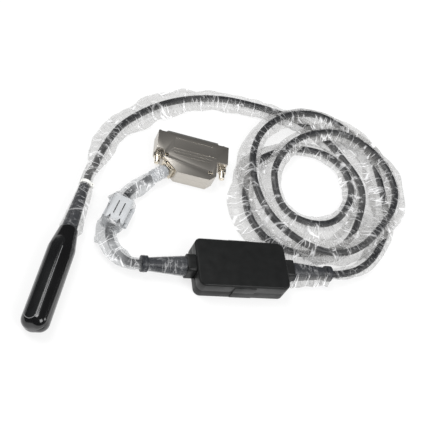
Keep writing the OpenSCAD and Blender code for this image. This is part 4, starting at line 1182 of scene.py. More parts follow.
@dataclass
class FilmSleeve:
    """A loose, crumpled tube of thin film that lies round a cable, a boot or a ferrite."""

    name: str
    points: list[Vector]
    inward: list[float]
    outward: list[float]
    core_w: list[float]
    core_h: list[float]
    cover: list[float]
    nodes: tuple[str, ...]
    finish: FilmFinish
    seed: float = 0.0
    over: int = 21
    under: int = 9
    slack: float = 0.0005
    crumple: float = 0.0030
    facet: float = 0.017
    lowest: float = 0.0005
    fall: float = 0.009
    layer_top: float = 0.0088
    table_rest: float = 0.0016
    shape: Crumple = Crumple()

    def side_way(self, i: int) -> Vector:
        """Level direction across the cable at point i, towards its inward side."""
        a, b = self.points[max(i - 1, 0)], self.points[min(i + 1, len(self.points) - 1)]
        return Vector((0, 0, 1)).cross(b - a).normalized()

    def folds(self, length: float, across: float, layer: float) -> float:
        """Height of the folds, from 0 in a valley to about 1 on a ridge.

        Args:
            length: distance along the cable.
            across: distance across it.
            layer: tells the upper film from the lower.

        Returns:
            The share of the full height.
        """
        s = self.shape
        place = Vector((length / self.facet, across * s.facet_across / self.facet, self.seed + layer))
        near = noise.voronoi(place)[0]
        fine = noise.voronoi(place * s.fine_facets)[0]
        return min(1.0, s.ridge * (near[1] - near[0]) + s.fine_ridge * (fine[1] - fine[0]))

    def edge(self, wide: float, core: float, length: float, side: float) -> float:
        """How far the film reaches on one side.

        Args:
            wide: its usual reach.
            core: half the width of what it covers.
            length: distance along the cable.
            side: tells the two sides apart.

        Returns:
            The reach, with bays and corners in it.
        """
        s = self.shape
        near = noise.voronoi(Vector((length / s.bay, self.seed, side)))[0][0]
        corner = noise.voronoi(Vector((length / s.nick, self.seed + s.nick_seed, side)))[0][0]
        drift = noise.noise(Vector((length / s.drift, self.seed + s.drift_seed, side)))
        share = s.reach - s.bay_depth * near - s.nick_depth * corner + s.drift_depth * drift
        return max(core + (wide - core) * share, core + self.slack)

    def cloud(self, length: float, across: float) -> float:
        """Tells how cloudy the film is.

        Args:
            length: distance along the cable.
            across: distance across it.

        Returns:
            The cloudiness, from 0 to 1.
        """
        s = self.shape
        place = Vector((length / s.cloud_along, across / s.cloud_across, self.seed + s.cloud_seed))
        return eased(clamped(s.cloud_mean + s.cloud_gain * noise.noise(place)))

    def rise(self, i: int, x: float, fold: float, spread: float, inwards: bool, top: bool) -> float:
        """Height of the film over the middle of the cable.

        Args:
            i: number of the cable's point.
            x: distance across the cable.
            fold: height of the folds there, from 0 to 1.
            spread: how far the sleeve stands open on that side, from 0 to 1.
            inwards: whether it is the inward side.
            top: whether it is the upper film.

        Returns:
            The height.
        """
        s, z, w, h = self.shape, self.points[i].z, self.core_w[i], self.core_h[i]
        beyond = max(0.0, abs(x) - w * s.shoulder)
        free = min(1.0, beyond / s.freeing) * spread
        arch = math.sqrt(max(0.0, 1 - min(1.0, abs(x) / (w + self.slack)) ** 2))
        if not top:
            tight = -(h + self.slack) * arch
            flat = self.lowest - z + s.under_fold * fold * free
            return tight + (max(-h - self.slack, flat) - tight) * spread
        tight = (h + self.slack) * arch
        slope = (h + self.slack) * (1 - s.steepness * eased(min(1.0, beyond / s.drop)))
        rest = self.layer_top if z > self.layer_top and inwards else self.table_rest
        sag = max(0.0, z - rest) * eased(min(1.0, beyond / self.fall))
        draped = slope - sag + (self.crumple * (fold - s.valley)) * free
        cling = tight if abs(x) < w else -z
        lifted = max(draped, cling, self.lowest * s.draped_floors - z)
        return tight + (lifted - tight) * spread + s.cling_fold * fold * (1 - free)

    def ring(self, i: int, length: float) -> tuple[list[Vector], list[float]]:
        """Points round the sleeve at point i of the cable.

        Args:
            i: number of the point.
            length: distance along the cable.

        Returns:
            The ring, from the outward edge over the top and back underneath, and how loose
            the film is at each of its points.
        """
        s, centre, side, w = self.shape, self.points[i], self.side_way(i), self.core_w[i]
        left = self.edge(self.inward[i], w, length, s.inward_seed)
        right = self.edge(self.outward[i], w, length, s.outward_seed)
        ring: list[Vector] = []
        loose: list[float] = []
        for k in range(self.over + self.under):
            top = k < self.over
            f = k / (self.over - 1) if top else 1 - (k - self.over + 1) / (self.under + 1)
            t = 2 * f - 1
            reach = left if t > 0 else right
            x = math.copysign(abs(t) ** s.gather, t) * reach
            spread = clamped((reach - w - self.slack) / s.opening)
            free = min(1.0, max(0.0, abs(x) - w * s.shoulder) / s.freeing) * spread
            fold = self.folds(length, x, 0.0 if top else s.under_seed)
            place = centre + side * x
            floor = self.lowest * (s.upper_floors if top else 1)
            place.z = max(centre.z + self.rise(i, x, fold, spread, t > 0, top), floor)
            ring.append(place)
            greyed = min(1.0, self.cover[i] * (s.cloud_least + self.cloud(length, x)))
            loose.append(max(free, greyed) if top else 1.0)
        return ring, loose

    def build(self) -> bpy.types.Object:
        """Makes the sleeve.

        Returns:
            The piece, dressed and riding on the root.
        """
        along = lengths_along(self.points)
        made = [self.ring(i, along[i]) for i in range(len(self.points))]

        def on_map(i: int, k: int) -> tuple[float, float]:
            """Finds a point's place on the UV map, where the lower film has a row of its own.

            Args:
                i: number of its ring.
                k: its number in the ring.

            Returns:
                The place.
            """
            s = self.shape
            if k < self.over:
                return along[i] / s.map_cell, k / self.over
            return along[i] / s.map_cell, (2 * self.over - k) / self.over + s.map_under

        obj = film_piece(
            self.name, [ring for ring, _ in made], on_map, [v for _, slack in made for v in slack],
            closed=False, sharp_deg=self.shape.sharp_deg,
        )
        put_on(obj, self.finish.material())
        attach(obj, ROOT)
        if self.nodes:
            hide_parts(*self.nodes)
        log.info("film sleeve %s: %.3f m long", self.name, along[-1])
        return obj

    def flat_size(self, every: int = 4) -> tuple[float, float]:
        """Measures the flattened tube that the sleeve was cut from.

        Args:
            every: from how many points one is measured.

        Returns:
            Its width and its length.
        """
        along = lengths_along(self.points)
        measured = range(0, len(self.points), every)
        wide = 0.0
        for i in measured:
            ring, _ = self.ring(i, along[i])
            wide += sum((b - a).length for a, b in zip(ring, ring[1:] + ring[:1])) / 2
        return wide / len(measured), along[-1]


@dataclass
class Film:
    """All the loose film of the assembly.

    The tables outward and inward say how far the film reaches past a cable's middle line, or past
    what the short cable carries, in millimetres. The tables cover say how grey it lies there, from 0
    to 1. Those of the long cable have an entry for each eighth of a turn and each point of the lead.
    """

    long_route: CoilRoute
    short_route: ShortRoute
    coil_outward: tuple[float, ...] = (
        6, 10, 14, 19, 13, 13, 13, 12, 10, 12, 20, 22, 17, 11, 14,
        17, 20, 15, 12, 12, 12, 12, 16, 21, 12, 19, 19, 21, 13,
    )
    coil_inward: tuple[float, ...] = (
        6, 14, 17, 19, 13, 10, 10, 15, 16, 14, 10, 10, 10, 11, 8,
        9, 10, 8, 11, 10, 8, 8, 10, 14, 17, 10, 10, 10, 13,
    )
    lead_outward: tuple[float, ...] = (
        12, 12, 12, 12, 13, 15, 13, 17, 15, 17, 18, 18, 14, 17, 17, 12, 8, 6, 6, 6
    )
    lead_inward: tuple[float, ...] = (
        12, 14, 12, 15, 15, 14, 14, 14, 16, 17, 17, 16, 16, 13, 11, 11, 8, 6, 6, 6
    )
    relief_l: float = 0.048
    relief_r: float = 0.0066
    relief_tip_r: float = 0.0044
    gland_end: float = 0.0505
    boot_r: float = 0.0087
    boot_tip_r: float = 0.0055
    ring_r: float = 0.0072
    ring_start: float = 0.0845
    ferrite_half_w: float = 0.0100
    ferrite_half_h: float = 0.0087
    short_inward: tuple[float, ...] = (3, 4, 6, 8, 9, 9, 6, 0.8, 0.6, 0.8, 5, 6, 7, 7, 6, 4)
    short_outward: tuple[float, ...] = (3, 8, 11, 12, 10, 7, 4, 0.8, 0.6, 0.8, 4, 5, 5, 6, 5, 4)
    long_cover: tuple[float, ...] = (
        0.1, 0.1, 0.1, 0.2, 0.1, 0.1, 0.15, 0.4, 0.45, 0.2, 0.1, 0.15, 0.1, 0.2, 0.3, 0.35, 0.1,
        0.4, 0.4, 0.35, 0.1, 0.2, 0.3, 0.2, 0.4, 0.3, 0.4, 0.4, 0.2, 0.3, 0.3, 0.1, 0.1, 0.1,
        0.1, 0.15, 0.3, 0.2, 0.1, 0.15, 0.2, 0.1, 0.15, 0.3, 0.6, 0.75, 0.8, 0.8, 0.6,
    )
    short_cover: tuple[float, ...] = (
        0.3, 0.4, 0.45, 0.6, 0.8, 0.9, 0.8, 0.05, 0.02, 0.06, 0.15, 0.1, 0.3, 1, 1, 1
    )
    pleat: float = 0.0020
    skirt: float = 0.0055
    lapped: int = 2
    step: float = ROUTE_STEP
    gland_gap: float = 0.0006
    least_loose: float = 0.0016
    relief_inward: float = 0.004
    relief_outward: float = 0.001
    boot_cover: float = 0.05
    relief_cover: float = 0.12
    long_seed: float = 2.0
    near_ferrite: float = 0.03
    ferrite_gap: float = 0.001
    ferrite_ramp: float = 0.006
    short_core_share: float = 0.92
    short_boot_loose: float = 0.0008
    short_boot_cover: float = 0.06
    short_seed: float = 11.0
    short_facet: float = 0.012

    def boot_width(self, x: float) -> float:
        """Measures a boot.

        Args:
            x: distance from the middle of the box.

        Returns:
            Half the boot's width there.
        """
        if x > self.ring_start:
            return self.ring_r
        share = (x - self.gland_end) / (self.ring_start - self.gland_end)
        return self.boot_r + (self.boot_tip_r - self.boot_r) * share

    def boot_points(self, way: float) -> tuple[list[Vector], list[float]]:
        """Points along one boot, from its gland outwards.

        Args:
            way: 1 for the coil's side, -1 for the other.

        Returns:
            The points and the half width at each.
        """
        route = self.long_route
        count = round((route.boot_end - self.gland_end) / self.step)
        xs = [
            self.gland_end + self.gland_gap + (route.boot_end - self.gland_end - self.gland_gap) * k / count
            for k in range(count)
        ]
        return [Vector((way * x, 0, route.box_axis_z)) for x in xs], [self.boot_width(x) for x in xs]

    def long_sleeve(self) -> FilmSleeve:
        """Plans the sleeve over the right boot, the whole long cable and the probe's relief.

        Returns:
            The plan.
        """
        route = self.long_route
        points, marks = route.points()
        r = route.diameter / 2
        outward = [v * MM for v in self.coil_outward + self.lead_outward]
        inward = [v * MM for v in self.coil_inward + self.lead_inward]
        boot, boot_w = self.boot_points(1)
        way = Vector(route.neck_way)
        count = round(self.relief_l / self.step)
        share = [(k + 1) / count for k in range(count)]
        back = [
            Vector(route.neck) - way * (self.relief_l - self.gland_gap) * (k + 1) / count
            for k in range(count)
        ]
        back_r = [
            self.relief_tip_r + (self.relief_r - self.relief_tip_r) * (k + 1) / count for k in range(count)
        ]
        loose = self.least_loose
        inward_w = [w + loose for w in boot_w]
        inward_w += [max(between(inward, m), r + loose) for m in marks]
        inward_w += [v + self.relief_inward + self.pleat * f for v, f in zip(back_r, share)]
        outward_w = [w + self.skirt for w in boot_w]
        outward_w += [max(between(outward, m), r + loose) for m in marks]
        outward_w += [v + self.relief_outward + loose * f for v, f in zip(back_r, share)]
        core = boot_w + [r] * len(points) + back_r
        cover = [self.boot_cover] * len(boot)
        cover += [between(self.long_cover, m) for m in marks]
        cover += [self.relief_cover] * count
        return FilmSleeve(
            "long_film", boot + points + back, inward_w, outward_w, core, core, cover,
            ("coil_film", "probe_lead_film", "neck_film"), LONG_FILM, seed=self.long_seed,
        )

    def short_sleeve(self) -> FilmSleeve:
        """Plans the sleeve over the left boot, the short cable and the ferrite.

        Returns:
            The plan.
        """
        route = self.short_route
        points = route.points()
        r = route.diameter / 2
        end = Vector(route.entry) + Vector(route.entry_way) * (route.clamp_reach + route.cuff_l)
        stop = min(range(len(points)), key=lambda i: (points[i] - end).length)
        points = points[:stop + self.lapped]
        centre, way = Vector(route.ferrite), Vector(route.ferrite_way)
        core_w: list[float] = []
        core_h: list[float] = []
        for p in points:
            along = abs((p - centre).dot(way)) if (p - centre).length < self.near_ferrite else 1.0
            past = along - route.ferrite_l / 2 - self.ferrite_gap
            near = 1 - eased(clamped(past / self.ferrite_ramp))
            core_w.append(r + (self.ferrite_half_w - r) * near)
            core_h.append(r + (self.ferrite_half_h - r) * near)
        boot, boot_w = self.boot_points(-1)
        share = (len(self.short_inward) - 1) / (len(points) - 1)
        extra = [
            [between([v * MM for v in table], i * share) for i in range(len(points))]
            for table in (self.short_inward, self.short_outward)
        ]
        wide_in, wide_out = (
            [w + self.short_boot_loose for w in boot_w]
            + [max(r, w * self.short_core_share) + e for w, e in zip(core_w, more)]
            for more in extra
        )
        cover = [self.short_boot_cover] * len(boot)
        cover += [between(self.short_cover, i * share) for i in range(len(points))]
        return FilmSleeve(
            "short_film", boot + points, wide_in, wide_out, boot_w + core_w, boot_w + core_h, cover,
            ("plug_lead_films", "boot_films"), SHORT_FILM, seed=self.short_seed, facet=self.short_facet,
        )

    def build(self) -> dict[str, bpy.types.Object]:
        """Returns:
            The sleeves by name.
        """
        made: dict[str, bpy.types.Object] = {}
        for key, plan, cable in (
            ("long", self.long_sleeve(), "long_cable"), ("short", self.short_sleeve(), "short_cable")
        ):
            made[key] = plan.build()
            plan.flat_size()
        return made


# Sub-assemblies


def at_turn(place: Point, turn_deg: float, lean_deg: float = 0.0) -> Matrix:
    """Frame of a sub-assembly.

    Args:
        place: its origin.
        turn_deg: its turn about the vertical.
        lean_deg: its turn about its own long axis, which is +Y.

    Returns:
        The matrix from the sub-assembly's own frame to the shared one.
    """
    return (
        Matrix.Translation(place)
        @ Matrix.Rotation(math.radians(turn_deg), 4, "Z")
        @ Matrix.Rotation(math.radians(lean_deg), 4, "Y")
    )


def softened(pieces: Iterable[tuple[str, str, Finish, float, str]]) -> list[bpy.types.Object]:
    """Replaces CAD nodes with copies that have rounded edges and a finish.

    Args:
        pieces: for each the node, its material slot, its finish, the width of its roundings and its body.

    Returns:
        The new pieces.
    """
    made: list[bpy.types.Object] = []
    for node, slot, finish, width, body in pieces:
        obj = softened_copy(node, node + "_dressed", width)
        put_on(obj, finish.material())
        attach(obj, body)
        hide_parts(node)
        made.append(obj)
    return made


def dressed(nodes: Iterable[tuple[str, Finish]]) -> None:
    """Gives finishes to CAD nodes that are shown as they are.

    Args:
        nodes: for each its name and its finish.
    """
    for node, finish in nodes:
        put_on(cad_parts[node], finish.material())


def grown(
    name: str, tree: bpy.types.NodeTree, sizes: dict[str, object], place: Matrix,
    start: bpy.types.Mesh | None = None,
) -> bpy.types.Object:
    """Runs a geometry tree and keeps its result as a plain mesh.

    Args:
        name: name of the new piece.
        tree: the geometry tree.
        sizes: a value for each of its named inputs.
        place: where the result goes.
        start: a mesh that the tree starts from, where it needs one.

    Returns:
        The new piece.
    """
    obj = new_object(name, start or bpy.data.meshes.new(name))
    modifier = obj.modifiers.new("growth", "NODES")
    modifier.node_group = tree
    for item in tree.interface.items_tree:
        if item.in_out == "INPUT" and item.name in sizes:
            modifier[item.identifier] = sizes[item.name]
    applied(obj)
    obj.data.transform(place)
    return obj


def growth_tree(name: str, sizes: Sequence[str], counts: Sequence[str] = ()) -> Group:
    """Starts a geometry tree that takes a mesh, some sizes and a finish.

    Args:
        name: the tree's name.
        sizes: names of its inputs in metres or turns.
        counts: names of its inputs that are whole numbers.

    Returns:
        The tree, its input node and its output node.
    """
    taken = [("Geometry", GEOMETRY)]
    taken += [(label, "NodeSocketInt") for label in counts]
    taken += [(label, FLOAT) for label in sizes]
    taken.append(("Finish", "NodeSocketMaterial"))
    return new_group(name, "GeometryNodeTree", taken, [("Geometry", GEOMETRY)])


def given_out(group: Group, shape: bpy.types.NodeSocket) -> bpy.types.NodeTree:
    """Ends a geometry tree: makes its instances real, paints the shape and gives it out.

    Args:
        group: the tree with its input and output nodes.
        shape: the shape.

    Returns:
        The tree.
    """
    tree, inside, outside = group
    real = add_node(tree, "GeometryNodeRealizeInstances", {"Geometry": shape})
    paint = add_node(tree, "GeometryNodeSetMaterial", {
        "Geometry": real.outputs["Geometry"], "Material": inside.outputs["Finish"],
    })
    feed(tree, outside, {"Geometry": paint.outputs["Geometry"]})
    return tree


def swept(group: Group, line: bpy.types.NodeSocket, corners: int) -> bpy.types.NodeSocket:
    """Sweeps a round section along a curve.

    Args:
        group: the tree with its nodes; its input Size is the section's radius.
        line: the curve.
        corners: how many corners the section has.

    Returns:
        The swept mesh.
    """
    tree, inside, _ = group
    section = add_node(tree, "GeometryNodeCurvePrimitiveCircle", {
        "Resolution": corners, "Radius": inside.outputs["Size"],
    })
    return add_node(tree, "GeometryNodeCurveToMesh", {
        "Curve": line, "Profile Curve": section.outputs["Curve"], "Fill Caps": True,
    }).outputs["Mesh"]


def ridge_tree() -> bpy.types.NodeTree:
    """Builds the tree for ridges that stand round an axis, such as a knurl.

    Returns:
        The tree, with Count, Radius, Length, Size and Finish as inputs.
    """
    group = growth_tree("ridges_round_axis", ("Radius", "Length", "Size"), ("Count",))
    tree, given = group[0], group[1].outputs
    circle = add_node(
        tree, "GeometryNodeMeshCircle", {"Vertices": given["Count"], "Radius": given["Radius"]}
    )
    size = add_node(
        tree, "ShaderNodeCombineXYZ", {"X": given["Size"], "Y": given["Size"], "Z": given["Length"]}
    )
    bar = add_node(tree, "GeometryNodeMeshCube", {"Size": size.outputs[0]})
    place = add_node(tree, "GeometryNodeInputPosition").outputs[0]
    parts = add_node(tree, "ShaderNodeSeparateXYZ", {0: place}).outputs
    angle = math_node(tree, "ARCTAN2", parts["Y"], parts["X"])
    turn = add_node(tree, "ShaderNodeCombineXYZ", {"Z": math_node(tree, "ADD", angle, math.pi / 4)})
    spin = add_node(tree, "FunctionNodeEulerToRotation", {0: turn.outputs[0]})
    put = add_node(tree, "GeometryNodeInstanceOnPoints", {
        "Points": circle.outputs["Mesh"], "Instance": bar.outputs["Mesh"], "Rotation": spin.outputs[0],
    })
    return given_out(group, put.outputs["Instances"])


def thread_tree(steps: int = 24, corners: int = 5) -> bpy.types.NodeTree:
    """Builds the tree for a screw thread.

    Args:
        steps: points in a turn.
        corners: corners of the thread's section.

    Returns:
        The tree, with Turns, Radius, Length, Size and Finish as inputs.
    """
    group = growth_tree("screw_thread", ("Turns", "Radius", "Length", "Size"))
    given = group[1].outputs
    helix = add_node(group[0], "GeometryNodeCurveSpiral", {
        "Resolution": steps, "Rotations": given["Turns"], "Start Radius": given["Radius"],
        "End Radius": given["Radius"], "Height": given["Length"],
    })
    return given_out(group, swept(group, helix.outputs["Curve"], corners))


def bead_tree(corners: int = 8) -> bpy.types.NodeTree:
    """Builds the tree for a round bead along a line of edges.

    Args:
        corners: corners of the bead's section.

    Returns:
        The tree, with Size and Finish as inputs.
    """
    group = growth_tree("bead_along_line", ("Size",))
    line = add_node(group[0], "GeometryNodeMeshToCurve", {"Mesh": group[1].outputs["Geometry"]})
    return given_out(group, swept(group, line.outputs["Curve"], corners))


RIDGES = ridge_tree()
THREAD = thread_tree()
BEAD = bead_tree()


@dataclass
class Probe:
    """The probe: glossy body, lens, strain relief and the tie round its neck."""

    place: Point = (-0.1502, 0.0285, 0.011306)
    turn_deg: float = -18.9
    lean_deg: float = -35.0
    length: float = 0.098
    nose_x: float = 0.00275
    nose_z: float = 0.0015
    edge_r: float = 0.0085
    shoulder_x: float = 0.0010
    shoulder_z: float = 0.00075
    shoulder_r: float = 0.0070
    taper_l: float = 0.021
    rim: float = 0.0012
    seam: float = 0.00012
    corner_steps: int = 9
    tie_y: float = 0.0505
    tie_r: float = 0.00486
    tie_w: float = 0.0022
    lens_edge: float = 0.00022
    relief_edge: float = 0.0003
    tie_edge: float = 0.0002
    tie_teeth: int = 44
    tooth: float = 0.00026
    lens_half_w: float = 0.00625
    lens_end: float = 0.093
    bead_start: float = 0.024
    bead_r: float = 0.00026
    seam_depth: float = 1.6
    seam_most: float = 0.4
    nose_start_deg: float = 4.0
    nose_steps: int = 14
    handle_steps: int = 12
    taper_steps: int = 8
    rim_steps: int = 4
    body_sharp_deg: float = 50.0
    bead_sharp_deg: float = 60.0
    bead_straight: int = 30
    bead_round: int = 24

    def section(self, y: float, x: float, z: float, r: float) -> list[Vector]:
        """One section of the body, with a fine seam at each side.

        Args:
            y: its place along the body.
            x: half the width between the centres of its corners.
            z: half the height between them.
            r: radius of its corners.

        Returns:
            The ring of points.
        """
        ring: list[Vector] = []
        for sx, sz, start in ((1, 1, 0), (-1, 1, 90), (-1, -1, 180), (1, -1, 270)):
            for k in range(self.corner_steps + 1):
                a = math.radians(start + 90 * k / self.corner_steps)
                ring.append(Vector((sx * x + r * math.cos(a), y, sz * z + r * math.sin(a))))
            if start in (90, 270):
                out = -1 if start == 90 else 1
                depth = min(self.seam * self.seam_depth, r * self.seam_most)
                for rise, inset in ((-out, 0.0), (0, depth), (out, 0.0)):
                    ring.append(Vector((out * (x + r - inset), y, rise * self.seam)))
        return ring

    def body(self) -> bpy.types.Object:
        """Makes the body: a round nose, a straight handle and a taper to the shoulder.

        Returns:
            The piece.
        """
        rings: list[list[Vector]] = []
        for k in range(self.nose_steps + 1):
            a = math.radians(self.nose_start_deg + (90 - self.nose_start_deg) * k / self.nose_steps)
            y = -self.length + self.edge_r * (1 - math.cos(a))
            rings.append(self.section(y, self.nose_x, self.nose_z, self.edge_r * math.sin(a)))
        start = -self.length + self.edge_r
        for k in range(1, self.handle_steps + 1):
            y = start + (-self.taper_l - start) * k / self.handle_steps
            rings.append(self.section(y, self.nose_x, self.nose_z, self.edge_r))
        nose = (self.nose_x, self.nose_z, self.edge_r)
        shoulder = (self.shoulder_x, self.shoulder_z, self.shoulder_r)
        for k in range(1, self.taper_steps + 1):
            f = k / self.taper_steps
            mix = [a + (b - a) * f for a, b in zip(nose, shoulder)]
            rings.append(self.section(-self.taper_l + (self.taper_l - self.rim) * f, *mix))
        for k in range(1, self.rim_steps + 1):
            a = math.radians(90 * k / self.rim_steps)
            y = -self.rim + self.rim * math.sin(a)
            inset = self.rim * (1 - math.cos(a))
            rings.append(self.section(y, self.shoulder_x, self.shoulder_z, self.shoulder_r - inset))
        verts, faces = lofted(rings)
        mesh = mesh_from("probe_body", verts, faces)
        mesh.transform(at_turn(self.place, self.turn_deg, self.lean_deg))
        smooth(mesh, self.body_sharp_deg)
        return new_object("probe_body", mesh)

    def crown(self, x: float, y: float) -> float:
        """Finds the top of the body, before its taper.

        Args:
            x: place across the probe.
            y: place along it.

        Returns:
            The height there.
        """
        dx = max(abs(x) - self.nose_x, 0.0)
        dy = max(self.edge_r - self.length - y, 0.0)
        return self.nose_z + math.sqrt(max(self.edge_r ** 2 - dx ** 2 - dy ** 2, 0.0))

    def lens_bead(self) -> bpy.types.Object:
        """Makes the fine bead that runs round the end and the sides of the lens, in a light grey that is a
        painted highlight.

        Returns:
            The piece.
        """
        r, turn_y, steps = self.lens_half_w, self.lens_half_w - self.lens_end, self.bead_straight
        side = [(r, -self.bead_start + (turn_y + self.bead_start) * k / steps) for k in range(steps)]
        turns = (math.pi * k / self.bead_round for k in range(self.bead_round + 1))
        flat = side + [(r * math.cos(a), turn_y - r * math.sin(a)) for a in turns]
        flat += [(-x, y) for x, y in reversed(side)]
        line = bpy.data.meshes.new("lens_line")
        points = [(x, y, self.crown(x, y) + self.bead_r) for x, y in flat]
        line.from_pydata(points, [(k, k + 1) for k in range(len(points) - 1)], [])
        place = at_turn(self.place, self.turn_deg, self.lean_deg)
        bead = grown("lens_bead", BEAD, {"Size": self.bead_r, "Finish": BEAD_HIGHLIGHT_GREY.material()}, place, line)
        smooth(bead.data, self.bead_sharp_deg)
        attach(bead, ROOT)
        return bead

    def build(self) -> list[bpy.types.Object]:
        """Makes the probe's visible pieces.

        Returns:
            The pieces.
        """
        body = self.body()
        put_on(body, PROBE_BLACK.material())
        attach(body, ROOT)
        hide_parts("probe_upper_shell", "probe_lower_shell")
        made = softened((
            ("acoustic_lens", "lens_rubber", LENS_BLACK, self.lens_edge, ROOT),
            ("probe_relief", "relief_rubber", RELIEF, self.relief_edge, ROOT),
            ("neck_tie", "nylon", NYLON, self.tie_edge, ROOT),
        ))
        neck = at_turn(self.place, self.turn_deg) @ Matrix.Translation((0, self.tie_y, 0))
        teeth = grown("tie_teeth", RIDGES, {
            "Count": self.tie_teeth, "Radius": self.tie_r, "Length": self.tie_w, "Size": self.tooth,
            "Finish": NYLON.material(),
        }, neck @ Matrix.Rotation(math.pi / 2, 4, "X"))
        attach(teeth, ROOT)
        log.info("probe built")
        return [body, *made, teeth, self.lens_bead()]

    def dress(self) -> None:
        """Finishes what the probe holds inside."""
        dressed((
            ("matching_layer", RESIN), ("crystal_array", CRYSTAL), ("backing_block", CHIP),
            ("array_carrier", IVORY), ("flex_circuit", FLEX), ("probe_board", BOARD), ("probe_wires", WIRE),
            ("probe_ferrule", PLATED), ("probe_cable_end", JACKET),
        ))


@dataclass
class AdapterBox:
    """The in-line box with its glands and boots."""

    edge: float = 0.0007
    gland_edge: float = 0.0005
    boot_edge: float = 0.0004
    screw_edge: float = 0.0001

    def build(self) -> list[bpy.types.Object]:
        """Makes the box's visible pieces.

        Returns:
            The pieces.
        """
        made = softened((
            ("box_cover", "box_plastic", BOX_BLACK, self.edge, ROOT),
            ("box_base", "box_plastic", BOX_BLACK, self.edge, ROOT),
            ("box_glands", "box_plastic", BOX_BLACK, self.gland_edge, ROOT),
            ("box_boots", "relief_rubber", RELIEF, self.boot_edge, ROOT),
            ("box_screws", "plated_steel", PLATED, self.screw_edge, ROOT),
        ))
        log.info("box built")
        return made

    def dress(self) -> None:
        """Finishes what the box holds inside."""
        dressed((
            ("box_board", BOARD), ("box_chips", CHIP), ("box_can", PLATED), ("box_headers", IVORY),
            ("box_wires", WIRE), ("box_cable_ends", JACKET),
        ))


@dataclass
class Ferrite:
    """The clamp-on ferrite with its hinged lid."""

    edge: float = 0.0005
    core_edge: float = 0.0003

    def build(self) -> list[bpy.types.Object]:
        """Makes the ferrite's pieces; the lid's ride on the lid.

        Returns:
            The pieces.
        """
        made = softened((
            ("ferrite_base", "ferrite_case", FERRITE_GREY, self.edge, ROOT),
            ("ferrite_lid", "ferrite_case", FERRITE_GREY, self.edge, "ferrite_lid"),
            ("ferrite_lower_core", "ferrite_ceramic", FERRITE_CORE, self.core_edge, ROOT),
            ("ferrite_upper_core", "ferrite_ceramic", FERRITE_CORE, self.core_edge, "ferrite_lid"),
        ))
        log.info("ferrite built")
        return made


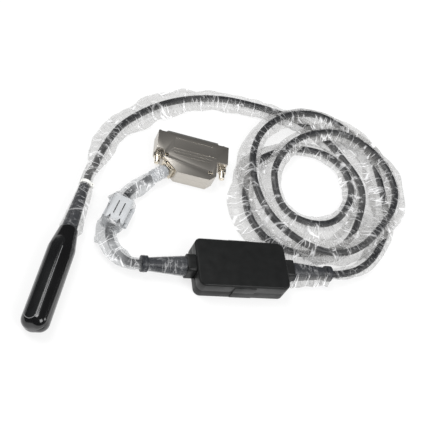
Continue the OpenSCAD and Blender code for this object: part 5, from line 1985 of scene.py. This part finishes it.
@dataclass
class Plug:
    """The D-shaped plug: hood, connector, jackscrews, clamp and the rolled film at its cable entry."""

    place: Point = (-0.0278, 0.1348, 0.0)
    turn_deg: float = -10.5
    mid_z: float = 0.0079
    screw_x: float = 0.03175
    thread_r: float = 0.00130
    thread_l: float = 0.0052
    thread_turns: float = 8.0
    thread_size: float = 0.00016
    thread_start: float = 0.0004
    collar_y: float = -0.0238
    collar_r: float = 0.00352
    collar_l: float = 0.0050
    knurls: int = 40
    knurl: float = 0.00034
    cuff_start: float = 0.0035
    cuff_l: float = CUFF_LENGTH
    cuff_r: float = 0.0067
    cuff_bore: float = 0.0036
    hood_edge: float = 0.0004
    clamp_edge: float = 0.0004
    shell_edge: float = 0.0002
    screw_edge: float = 0.00015
    jackscrew_edge: float = 0.0002
    cuff_along: int = 22
    cuff_across: int = 40
    cuff_back: int = 6
    cuff_fold_along: float = 4.4
    cuff_fold_round: float = 1.7
    cuff_seed: float = 3
    cuff_least: float = 0.86
    cuff_ridge: float = 0.2
    cuff_end: float = 0.22
    cuff_end_power: int = 6
    cuff_map_rings: int = 20
    cuff_map_round: float = 1.4
    cuff_sharp_deg: float = 20.0
    entry: Point = PLUG_ENTRY
    entry_way: Point = PLUG_WAY

    def frame_at(self, x: float, y: float) -> Matrix:
        """Frame of a jackscrew at a point of the plug, with its +Z towards the cable.

        Args:
            x: place across the plug.
            y: place along the screw.

        Returns:
            The matrix.
        """
        return (
            at_turn(self.place, self.turn_deg)
            @ Matrix.Translation((x, y, self.mid_z))
            @ Matrix.Rotation(math.pi / 2, 4, "X")
        )

    def jackscrew(self, side: str, x: float) -> list[bpy.types.Object]:
        """Makes one jackscrew with its knurl and thread.

        Args:
            side: left or right.
            x: its place across the plug.

        Returns:
            The pieces.
        """
        body = side + "_jackscrew"
        made = softened(((body, "screw_steel", SCREW, self.jackscrew_edge, body),))
        knurl = grown(side + "_knurl", RIDGES, {
            "Count": self.knurls, "Radius": self.collar_r, "Length": self.collar_l, "Size": self.knurl,
            "Finish": SCREW.material(),
        }, self.frame_at(x, self.collar_y))
        thread = grown(side + "_thread", THREAD, {
            "Turns": self.thread_turns, "Radius": self.thread_r, "Length": self.thread_l,
            "Size": self.thread_size, "Finish": SCREW.material(),
        }, self.frame_at(x, self.thread_l + self.thread_start))
        for piece in (knurl, thread):
            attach(piece, body)
        return [*made, knurl, thread]

    def cuff_radius(self, f: float, a: float) -> float:
        """Measures the rolled film.

        Args:
            f: share of its length.
            a: angle round it.

        Returns:
            Its outer radius there.
        """
        place = Vector((
            f * self.cuff_fold_along, math.cos(a) * self.cuff_fold_round,
            math.sin(a) * self.cuff_fold_round + self.cuff_seed,
        ))
        fold = noise.voronoi(place)[0]
        end = 1 - self.cuff_end * (2 * abs(f - 0.5)) ** self.cuff_end_power
        return self.cuff_r * end * (self.cuff_least + self.cuff_ridge * min(1.0, fold[1] - fold[0]))

    def cuff_on_map(self, i: int, k: int) -> tuple[float, float]:
        """Place on the UV map of point k of ring i of the rolled film."""
        return i / self.cuff_map_rings, k / self.cuff_across * self.cuff_map_round

    def cuff(self) -> bpy.types.Object:
        """Makes the rolled film at the cable entry: a thick crumpled ring of many layers.

        Returns:
            The piece.
        """
        start, way, up = Vector(self.entry), Vector(self.entry_way), Vector((0, 0, 1))
        side = up.cross(way)
        profile = [(f / self.cuff_along, True) for f in range(self.cuff_along + 1)]
        profile += [(1 - f / self.cuff_back, False) for f in range(self.cuff_back + 1)]
        rings: list[list[Vector]] = []
        for f, outer in profile:
            place = start + way * (self.cuff_start + self.cuff_l * f)
            ring: list[Vector] = []
            for k in range(self.cuff_across):
                a = 2 * math.pi * k / self.cuff_across
                r = self.cuff_radius(f, a) if outer else self.cuff_bore
                ring.append(place + side * r * math.cos(a) + up * r * math.sin(a))
            rings.append(ring)
        obj = film_piece(
            "film_cuff", rings, self.cuff_on_map, [1.0] * len(rings) * self.cuff_across,
            closed=True, sharp_deg=self.cuff_sharp_deg,
        )
        put_on(obj, ROLLED_FILM.material())
        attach(obj, ROOT)
        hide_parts("plug_cuff")
        return obj

    def build(self) -> list[bpy.types.Object]:
        """Makes the plug's pieces.

        Returns:
            The pieces.
        """
        made = softened((
            ("hood_lower", "nickel_casting", CASTING, self.hood_edge, ROOT),
            ("hood_upper", "nickel_casting", CASTING, self.hood_edge, ROOT),
            ("hood_screws", "screw_steel", SCREW, self.screw_edge, ROOT),
            ("connector_face", "plated_steel", PLATED, self.shell_edge, ROOT),
            ("connector_back", "plated_steel", PLATED, self.shell_edge, ROOT),
            ("clamp_lower", "clamp_metal", CLAMP, self.clamp_edge, ROOT),
            ("clamp_upper", "clamp_metal", CLAMP, self.clamp_edge, ROOT),
            ("clamp_screws", "screw_steel", SCREW, self.screw_edge, ROOT),
        ))
        made += self.jackscrew("left", -self.screw_x)
        made += self.jackscrew("right", self.screw_x)
        made.append(self.cuff())
        log.info("plug built")
        return made

    def dress(self) -> None:
        """Finishes what is shown as CAD has it."""
        dressed((
            ("connector_insulator", INSULATOR), ("connector_pins", GOLD), ("plug_wires", WIRE),
            ("left_clip", PLATED), ("right_clip", PLATED), ("plug_cable_end", JACKET),
        ))


# Main


def main() -> None:
    """Builds the scene, piece by piece."""
    logging.basicConfig(level=logging.INFO, format="%(name)s: %(message)s")
    Studio().build()
    cables = Cables()
    made = cables.build()
    probe = Probe()
    probe.build()
    probe.dress()
    box = AdapterBox()
    box.build()
    box.dress()
    on_short = Ferrite().build()
    plug = Plug()
    on_short += plug.build()
    plug.dress()
    on_short += [
        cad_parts[n]
        for n in ("connector_insulator", "connector_pins", "left_clip", "right_clip", "plug_cable_end")
    ]
    cables.declare()
    Film(cables.long_route, cables.short_route).build()


if __name__ == "__main__":
    main()
